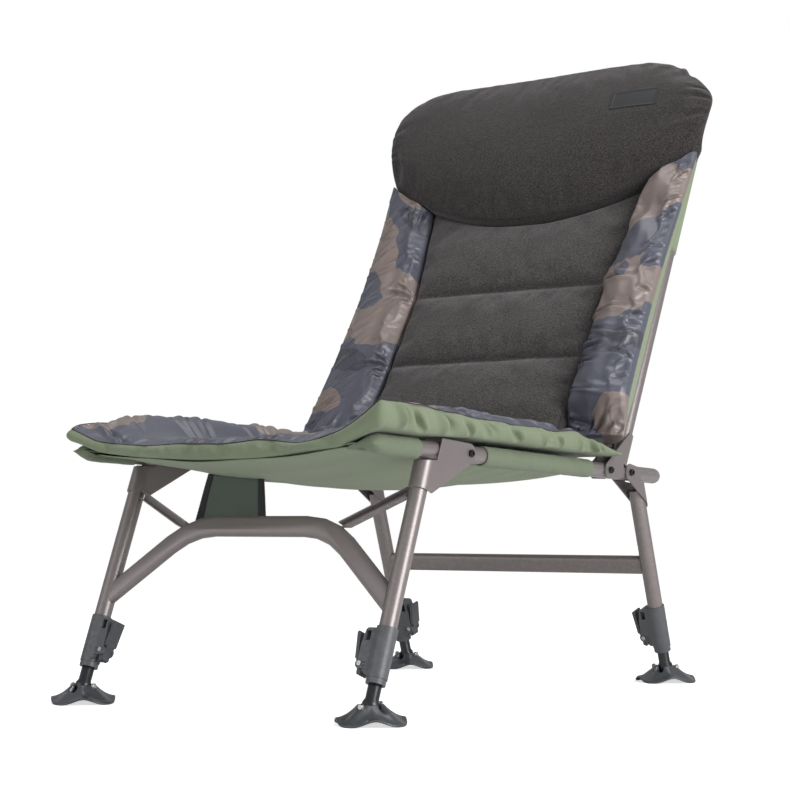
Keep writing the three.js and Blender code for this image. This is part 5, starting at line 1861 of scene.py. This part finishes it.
@dataclass
class HeadPillow:
    """The fleece pillow over the head of the back, with a bowed lower edge."""

    edge: float = 40.0
    proud: float = 94.0
    rear_share: float = 0.84
    corner_pull: float = 34.0
    corner_drops: tuple[float, float] = (58.0, 62.0)
    end_dip: float = 5.0
    end_bulge: float = 4.0
    flat: tuple[float, float, float] = (652.0, 300.0, 70.0)

    def across(self, share: float, v: float) -> float:
        """Place across the chair: the cloth pulls the right upper corner in.

        Args:
            share: From -1 at the left to 1.
            v: Share up.

        Returns:
            Millimetres from the middle.
        """
        if share < 0:
            return share * BACK.pillow_half * (1.01 - 0.065 * (1 - v) ** 2)
        reach = BACK.pillow_half * (1 - 0.05 * (1 - v) ** 2 - 0.05 * v ** 4) * 0.985
        return share * (reach - self.corner_pull * max(0.0, 2 * v - 1) ** 2)

    def height(self, x: float, share: float, v: float) -> float:
        """Height up the back.

        Args:
            x: Place across.
            share: The same from -1 to 1.
            v: Share up.

        Returns:
            The height.
        """
        left, right = self.corner_drops
        drop = left * share ** 16 if share < 0 else right * share ** 6
        return lerp(BACK.bow(x), BACK.pillow_top - drop, v)

    def place(self, u: float, v: float, w: float) -> Vector:
        """Where a share of the pillow's block lies.

        Args:
            u: Share across.
            v: Share along.
            w: Share of the depth.

        Returns:
            The place in metres.
        """
        share = 2 * u - 1
        x = self.across(share, v) * lerp(self.rear_share, 1.0, w)
        height = self.height(x, share, v)
        rise = math.sin(math.pi * min(0.97, max(0.03, v))) ** 0.35
        lump = 4.0 * noise.noise(Vector((u * 4.0, v * 2.2, 3.0)))
        out = self.edge + (self.proud - self.edge) * rise * (1 - 0.25 * share ** 8) + lump * rise
        end = smooth(abs(share), 0.97, 1.0)
        out -= self.end_dip * end
        x += math.copysign(self.end_bulge * math.sin(math.pi * w) * end, x)
        return LINES.on_back(x, lerp(BACK.rear_face, out, w), height)

    def folds(self) -> list[Fold]:
        """Soft gathers at the ends and at the upper right corner.

        Returns:
            The creases.
        """
        rows = [
            FoldRow((4, 40), (4, 260), 4, (60, 6), 1.8, 9.0, 111),
            FoldRow((648, 60), (648, 240), 4, (-60, -14), 2.2, 8.0, 112),
            FoldRow((540, 296), (640, 296), 4, (-30, -52), 3.0, 8.0, 114),
            FoldRow((60, 3), (600, 3), 9, (1, 26), 1.2, 7.0, 113),
        ]
        return [fold for row in rows for fold in row.folds()]

    def build(self) -> bpy.types.Object:
        """Builds the pillow.

        Returns:
            The pillow.
        """
        def dress(share: Vector, normal: Vector) -> int:
            """The finish's number on a face."""
            return 1 if normal.z < -0.5 or share.z < 0.16 else 0

        # The pillow takes the darker copy of the fleece: painted shade.
        pad = Padding("fleece_pillow", "back", ("head_pillow",), self.place, (80, 40, 6), self.flat,
                      (SHADED_PILLOW_FLEECE, SAGE), dress, fill=0.85, pressure=3.0, swell=5.0, slack=0.02,
                      free=lambda share: share.z > 0.99 and 0.02 < share.y < 0.98, folds=self.folds())
        return pad.build()


@dataclass
class BackCloth:
    """The sage cloth stretched over the back tube."""

    foot: float = 46.0
    sleeve_foot: float = 398.0
    radius: float = 13.7
    out: float = 12.75
    bend_steps: int = 12
    leg_steps: int = 20

    def half(self, up: float) -> float:
        """Half width: it is narrow between the bare tubes and full above the sleeve's foot."""
        narrow = LINES.half_span - LINES.tube_radius - 3.6
        return lerp(narrow, LINES.half_span, smooth(up, self.sleeve_foot - 14.0, self.sleeve_foot))

    def corner(self, up: float) -> float:
        """How far the bent tube draws the cloth in near its head."""
        above = max(0.0, up - (LINES.frame_top - LINES.bend_radius))
        return LINES.bend_radius - math.sqrt(max(0.0, LINES.bend_radius ** 2 - above ** 2))

    def panel(self) -> bpy.types.Object:
        """The flat of the cloth.

        Returns:
            The cloth.
        """
        def place(u: float, v: float) -> Vector:
            """Where a share of the cloth lies."""
            up = lerp(self.foot, LINES.frame_top, v)
            x = (2 * u - 1) * (self.half(up) - self.corner(up))
            ripple = 0.35 * noise.noise(Vector((x / 50.0, up / 60.0, 5.0)))
            return LINES.on_back(x, self.out + ripple, up)

        form = sheet_form(72, 84, place, 2 * LINES.half_span, LINES.frame_top - self.foot)
        piece = finish_object("back_panel_cloth", form, (SAGE,), "back")
        return thickened(piece, LINES.cloth * 0.7)

    def sleeve_path(self) -> list[Vector]:
        """The bent tube's axis above the sleeve's foot.

        Returns:
            The points of the axis.
        """
        straight = LINES.frame_top - LINES.bend_radius
        half = LINES.half_span
        rise = straight - self.sleeve_foot
        points = [(-half, self.sleeve_foot + rise * step / self.leg_steps) for step in range(self.leg_steps)]
        for step in range(self.bend_steps + 1):
            angle = math.pi / 2 * step / self.bend_steps
            across = LINES.bend_radius * (1 - math.cos(angle))
            points.append((across - half, straight + LINES.bend_radius * math.sin(angle)))
        mirrored = [(-x, up) for x, up in reversed(points)]
        points += [(x, LINES.frame_top) for x in range(-150, 151, 20)]
        return [LINES.on_back(x, 0.0, up) for x, up in points + mirrored]

    def build(self) -> None:
        """Builds the panel and the sleeve."""
        panel = self.panel()
        sleeve = bead("back_sleeve_cloth", [self.sleeve_path()], self.radius, SAGE, "back", facets=5)
        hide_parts("back_cloth")
        LOG.info("back cloth")


@dataclass
class Backrest:
    """The pads of the back with the piping in their seams."""

    piping: float = 0.7
    sunk: float = 2.4
    anchor_up: float = 300.0

    def build(self) -> bpy.types.Object:
        """Builds the pads, the piping and the cloth.

        Returns:
            The head pillow.
        """
        BackCloth().build()
        anchor = LINES.on_back(0.0, BACK.rear_face, self.anchor_up)
        pieces = [CentrePad().build(), *(WingPad(side).build() for side in Side)]
        seams = [self.side_seam(side) for side in Side]
        pieces.append(bead("side_seam_piping", seams, self.piping, BINDING, "back"))
        for piece in pieces:
            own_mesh(piece)
        return HeadPillow().build()

    def side_seam(self, side: Side) -> list[Vector]:
        """The seam between the centre and a wing.

        Args:
            side: The wing's side.

        Returns:
            The points of the seam.
        """
        points = []
        for step in range(61):
            up = lerp(BACK.foot + 2.0, BACK.bow(200.0) - 2.0, step / 60)
            x = BACK.centre_edge(up) + 0.3
            points.append(LINES.on_back(side.value * x, BACK.proud(up) - self.sunk, up))
        return points


# Rigid pieces


@dataclass
class Polish:
    """Gives a CAD node smooth faces and softened edges in a merged copy that stands for it."""

    node: str
    body: str
    finish: Finish
    bevel: float
    sharp: float = 35.0

    def build(self) -> None:
        """Builds the copy."""
        form = bmesh.new()
        form.from_mesh(frame["nodes"][self.node].data)
        bmesh.ops.remove_doubles(form, verts=form.verts, dist=1e-6)
        flat = [edge for edge in form.edges
                if edge.is_manifold and edge.calc_face_angle(0.0) < math.radians(1.0)]
        bmesh.ops.dissolve_edges(form, edges=flat, use_verts=False, use_face_split=False)
        form.normal_update()
        for edge in form.edges:
            edge.smooth = not (edge.is_manifold and edge.calc_face_angle(0.0) > math.radians(self.sharp))
        piece = finish_object(f"{self.node}_finished", form, (self.finish,), self.body)
        modifier = piece.modifiers.new("softened_edges", "BEVEL")
        modifier.width = self.bevel * MM
        modifier.segments = 2
        modifier.limit_method = "ANGLE"
        modifier.angle_limit = math.radians(self.sharp)
        modifier.use_clamp_overlap = True
        modifier.harden_normals = False
        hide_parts(self.node)


@dataclass
class MudFoot:
    """A swivelling mud foot: four flared lobes with arches, and a slotted cup for the leg's ball."""

    corner: Corner
    reach: float = 50.0
    height: float = 26.0
    shell: float = 3.0
    draw_in: float = 5.0
    arch: float = 7.5
    ridge: float = 2.4
    slot_floor: float = 12.5
    columns: int = 112
    flank_rows: int = 9
    cup_edge: float = 17.6
    valley: float = 1.6
    under_height: float = 8.0
    under_arch: float = 6.0
    slot_ends: tuple[float, float] = (22.0, 27.0)

    def flank(self, t: float, lobe: float) -> tuple[float, float]:
        """Radius and height of the outer skin between the cup, 0, and the rim, 1.

        Args:
            t: Share from the cup to the rim.
            lobe: 1 on a lobe, 0 between two.

        Returns:
            The radius and the height.
        """
        rim = self.reach - self.draw_in * (1 - lobe)
        lip = self.shell + self.arch * (1 - lobe) ** 1.5
        shape = math.sin(math.pi * t)
        height = lip + (self.height - 1.2 - lip) * (1 - t) ** 1.4
        height += shape * (self.ridge * lobe ** 3 - self.valley * (1 - lobe))
        return lerp(self.cup_edge, rim, t), height

    def profile(self, turn: float) -> list[tuple[float, float]]:
        """The closed section at an angle, as radius and height pairs in millimetres.

        Args:
            turn: The angle in radians.

        Returns:
            The pairs, from the cup's middle to the underside's.
        """
        lobe = 0.5 + 0.5 * math.cos(4 * turn)
        slot = smooth(abs(math.cos(turn)), 0.93, 0.985)
        cup = [(0.0, 9.0), (8.0, 9.6), (12.6, 14.0), (13.2, 25.0), (13.9, self.height), (16.8, self.height),
               (17.5, 25.3)]
        outer = [self.flank(step / self.flank_rows, lobe) for step in range(1, self.flank_rows + 1)]
        skin = []
        for radius, height in cup + outer:
            depth = slot * (1 - smooth(radius, *self.slot_ends))
            skin.append((radius, lerp(height, min(height, self.slot_floor), depth)))
        rim, lip = outer[-1]
        under = [(rim, max(0.0, lip - self.shell)), (rim - self.shell, max(0.0, lip - self.shell))]
        for radius, height in reversed(outer[:-1]):
            hollow = self.under_height + self.under_arch * (1 - radius / rim)
            under.append((radius - self.shell / 2, max(0.4, min(height - self.shell, hollow))))
        return skin + under + [(0.0, 5.5)]

    def build(self) -> None:
        """Builds the foot."""
        middle = sum(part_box(f"mud_foot_{self.corner.value}"), Vector()) / 2
        pin_low, pin_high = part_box(f"foot_pin_{self.corner.value}")
        span = pin_high - pin_low
        quarter = 0.0 if span.y > span.x else math.pi / 2
        rows = len(self.profile(0.0)) - 1

        def place(u: float, v: float) -> Vector:
            """Where a share of the skin lies."""
            turn = 2 * math.pi * u
            radius, height = self.profile(turn)[round(v * rows)]
            across = Vector((math.cos(turn + quarter), math.sin(turn + quarter), 0.0)) * radius * MM
            return Vector((middle.x, middle.y, height * MM)) + across

        form = sheet_form(self.columns, rows, place, 300.0, 120.0)
        bmesh.ops.remove_doubles(form, verts=form.verts, dist=DOUBLES)
        bmesh.ops.recalc_face_normals(form, faces=form.faces)
        word = self.corner.value
        piece = finish_object(f"lobed_foot_{word}", form, (FOOT_PLASTIC,), f"foot_{word}")
        subdivided(piece)
        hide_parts(f"mud_foot_{self.corner.value}")


class Hardware:
    """The tubes, brackets, clamps, levers, legs and feet."""

    def plan(self) -> list[tuple[str, str, Finish, float]]:
        """Every rigid node with its body, finish and edge softening.

        Returns:
            One row for each node.
        """
        rows: list[tuple[str, str, Finish, float]] = [
            ("front_arch", "front_legs", FRAME_PAINT, 0.5), ("rear_crossbar", "rear_legs", FRAME_PAINT, 0.5),
            ("back_frame", "back", FRAME_PAINT, 0.5),
        ]
        for side in Side:
            word = side.word
            rows += [(f"seat_rail_{word}", "seat", FRAME_PAINT, 0.4),
                     (f"rail_plug_{word}", "seat", PLUG_PLASTIC, 0.4)]
            rows += [(f"{bolt}_bolt_{word}", "seat", BOLT_BLACK, 0.3) for bolt in ("front", "back", "rear")]
            rows += [(f"back_bracket_{word}", "back", FRAME_PAINT, 0.5)]
            rows += [(f"{piece}_{word}", "front_legs", finish, 0.5) for piece, finish in (
                ("front_leg", FRAME_PAINT), ("front_leg_plug", CAP_PLASTIC), ("front_brace", FRAME_PAINT),
                ("front_bracket", FRAME_PAINT))]
            rows += [(f"{piece}_{word}", "rear_legs", FRAME_PAINT, 0.5)
                     for piece in ("rear_leg", "rear_bracket")]
        for corner in Corner:
            word = corner.value
            legs = f"{word.split('_')[0]}_legs"
            rows += [
                (f"clamp_{word}", legs, CLAMP_PLASTIC, 0.7), (f"lever_pin_{word}", legs, ZINC, 0.3),
                (f"cam_lever_{word}", f"lever_{word}", LEVER_PLASTIC, 0.7),
                (f"extension_leg_{word}", f"stem_{word}", TUBE_BLACK, 0.3),
                (f"foot_pin_{word}", f"foot_{word}", ZINC, 0.3),
            ]
        return rows

    def build(self) -> None:
        """Builds a finished copy of every rigid node."""
        rows = self.plan()
        for node, body, finish, bevel in rows:
            Polish(node, body, finish, bevel).build()
        for corner in Corner:
            MudFoot(corner).build()
        LOG.info("%d rigid pieces", len(rows) + len(Corner))


@dataclass
class BarePatch:
    """The sewn rubber patch of the pillow, left bare, with a raised rim."""

    half_width: float = 43.0
    half_height: float = 18.5
    thickness: float = 1.8
    rim: float = 2.4
    recess: float = 0.5
    recess_step: float = 0.4
    softened: float = 0.3
    cuts: tuple[int, int] = (12, 5)
    far: float = 120.0

    def drape(self, form: bmesh.types.BMesh, pillow: bpy.types.Object, frame: Matrix) -> None:
        """Lays the flat patch on the pillow's face, along a smooth curved surface fitted to it.

        Args:
            form: The patch, flat about its own middle, its face toward -y.
            pillow: The pillow.
            frame: The patch's place and turn on the back.
        """
        inward = frame.to_3x3() @ Vector((0, 1, 0))
        places, depths = [], []
        for vert in form.verts:
            start = frame @ Vector((vert.co.x, -self.far * MM, vert.co.z))
            hit, where, _, _ = pillow.ray_cast(start, inward)
            if hit:
                places.append((vert.co.x, vert.co.z))
                depths.append((where - start).length - self.far * MM)

        def terms(x: np.ndarray, z: np.ndarray) -> np.ndarray:
            """The terms of the fitted curve at a place."""
            return np.stack([np.ones_like(x), x, z, x * x, x * z, z * z], axis=1)

        known = terms(*np.array(places).T)
        fitted = np.linalg.lstsq(known, np.array(depths), rcond=None)[0]
        proud = float(np.max(known @ fitted - np.array(depths)))
        for vert in form.verts:
            depth = float((terms(np.array([vert.co.x]), np.array([vert.co.z])) @ fitted)[0])
            vert.co = frame @ Vector((vert.co.x, vert.co.y + depth - proud, vert.co.z))

    def build(self, pillow: bpy.types.Object) -> None:
        """Builds the patch on the pillow.

        Args:
            pillow: The pillow it is sewn to.
        """
        low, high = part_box("label_patch")
        form = bmesh.new()
        bmesh.ops.create_cube(form, size=1.0)
        size = Vector((2 * self.half_width, self.thickness, 2 * self.half_height)) * MM
        bmesh.ops.scale(form, vec=size, verts=form.verts)
        form.normal_update()
        front = [face for face in form.faces if face.normal.y < -0.9]
        bmesh.ops.inset_region(form, faces=front, thickness=self.rim * MM, depth=0.0, use_even_offset=True)
        bmesh.ops.inset_region(form, faces=front, thickness=self.recess_step * MM, depth=-self.recess * MM,
                               use_even_offset=True)
        outer = [edge for edge in form.edges if edge.is_manifold and edge.calc_face_angle(0.0) > 0.6]
        bmesh.ops.bevel(form, geom=outer, offset=self.softened * MM, offset_type="OFFSET", affect="EDGES",
                        segments=2, profile=0.5, material=-1)
        across, upward = Vector((1, 0, 0)), Vector((0, 0, 1))
        for axis, reach, cuts in ((across, size.x, self.cuts[0]), (upward, size.z, self.cuts[1])):
            for number in range(cuts):
                at = axis * (number - (cuts - 1) / 2) * reach / (cuts + 1)
                every = [*form.verts, *form.edges, *form.faces]
                bmesh.ops.bisect_plane(form, geom=every, dist=1e-6, plane_co=at, plane_no=axis)
        turn = Matrix.Rotation(-math.radians(LINES.back_lean), 4, "X")
        self.drape(form, pillow, Matrix.Translation((low + high) / 2) @ turn)
        piece = finish_object("bare_patch", form, (LABEL_RUBBER,), "back")
        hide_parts("label_patch")
        LOG.info("patch")


# Studio


@dataclass(frozen=True)
class Lamp:
    """A square soft lamp."""

    name: str
    place: tuple[float, float, float]
    size: float
    power: float


@dataclass
class Studio:
    """A pale floor and backdrop, soft lamps and the camera."""

    eye: tuple[float, float, float] = (1.69807, -2.40309, 0.25767)
    azimuth: float = 35.826
    elevation: float = -3.706
    roll: float = -0.066
    focal: float = 87.366
    film: float = 36.0
    floor_size: float = 30.0
    paper: float = 0.9
    floor_lift: float = 0.66
    light_level: float = 0.4
    aim: tuple[float, float, float] = (0.0, 0.0, 0.45)
    lamps: tuple[Lamp, ...] = (
        Lamp("key_lamp", (3.1, -0.5, 1.3), size=1.8, power=92.0),
        Lamp("fill_lamp", (-1.2, -3.2, 0.9), size=2.4, power=26.0),
        Lamp("top_lamp", (0.2, 0.2, 3.4), size=2.2, power=34.0),
    )

    def camera(self) -> None:
        """Sets the camera where the photograph was taken from."""
        data = bpy.data.cameras.new("photo_camera")
        data.sensor_width = self.film
        data.sensor_fit = "HORIZONTAL"
        data.lens = self.focal
        data.clip_end = 100.0
        camera = bpy.data.objects.new("photo_camera", data)
        bpy.context.scene.collection.objects.link(camera)
        turn, tilt = math.radians(self.azimuth), math.radians(self.elevation)
        forward = Vector((-math.sin(turn) * math.cos(tilt), math.cos(turn) * math.cos(tilt), -math.sin(tilt)))
        right = Vector((math.cos(turn), math.sin(turn), 0.0))
        above = right.cross(forward)
        roll = math.radians(self.roll)
        rolled_right = math.cos(roll) * right + math.sin(roll) * above
        rolled_above = math.cos(roll) * above - math.sin(roll) * right
        matrix = Matrix((rolled_right, rolled_above, -forward)).transposed().to_4x4()
        matrix.translation = Vector(self.eye)
        camera.matrix_world = matrix
        bpy.context.scene.camera = camera

    def floor(self) -> None:
        """A pale floor that keeps the shadows."""
        form = bmesh.new()
        bmesh.ops.create_grid(form, x_segments=1, y_segments=1, size=self.floor_size / 2)
        mesh = bpy.data.meshes.new("studio_floor")
        form.to_mesh(mesh)
        form.free()
        floor = bpy.data.objects.new("studio_floor", mesh)
        bpy.context.scene.collection.objects.link(floor)
        made = bpy.data.materials.new("studio_floor")
        made.use_nodes = True
        made.node_tree.nodes.clear()
        tree = Tree(made.node_tree)
        path = tree.add("ShaderNodeLightPath").outputs
        lift = tree.math("MULTIPLY", path["Is Camera Ray"], self.floor_lift)
        paper = tree.add("ShaderNodeBsdfDiffuse", {"Color": (self.paper, self.paper, self.paper, 1.0)})
        white = tree.add("ShaderNodeEmission", {"Color": (1.0, 1.0, 1.0, 1.0), "Strength": lift})
        both = tree.add("ShaderNodeAddShader", {0: paper.outputs[0], 1: white.outputs[0]})
        output = tree.add("ShaderNodeOutputMaterial")
        made.node_tree.links.new(both.outputs[0], output.inputs[0])
        mesh.materials.append(made)

    def world(self) -> None:
        """A white surround for the camera, and a plain soft light for the object."""
        world = bpy.data.worlds.new("studio_world")
        world.use_nodes = True
        world.node_tree.nodes.clear()
        tree = Tree(world.node_tree)
        path = tree.add("ShaderNodeLightPath").outputs
        seen = tree.math("ADD", path["Is Camera Ray"], path["Is Transmission Ray"], clamp=True)
        strength = tree.math("ADD", tree.math("MULTIPLY", seen, 1 - self.light_level), self.light_level)
        back = tree.add("ShaderNodeBackground", {"Color": (1.0, 1.0, 1.0, 1.0), "Strength": strength})
        output = tree.add("ShaderNodeOutputWorld")
        world.node_tree.links.new(back.outputs[0], output.inputs[0])
        bpy.context.scene.world = world

    def hang(self, plan: Lamp) -> None:
        """Hangs a lamp and aims it at the chair.

        Args:
            plan: The lamp's measures.
        """
        data = bpy.data.lights.new(plan.name, "AREA")
        data.shape = "SQUARE"
        data.size = plan.size
        data.energy = plan.power
        lamp = bpy.data.objects.new(plan.name, data)
        bpy.context.scene.collection.objects.link(lamp)
        lamp.location = plan.place
        aim = Vector(self.aim) - Vector(plan.place)
        lamp.rotation_euler = aim.to_track_quat("-Z", "Y").to_euler()

    def build(self) -> None:
        """Builds the studio."""
        self.camera()
        self.floor()
        self.world()
        for plan in self.lamps:
            self.hang(plan)
        bpy.context.scene.view_settings.view_transform = "Standard"
        LOG.info("studio")


def main() -> None:
    """Builds the chair's sub-assemblies in order."""
    logging.basicConfig(level=logging.INFO, format="%(name)s: %(message)s")
    Studio().build()
    Hardware().build()
    SeatCloth().build()
    SeatMattress().build()
    HangingFlap().build()
    BarePatch().build(Backrest().build())


if __name__ == "__main__":
    main()
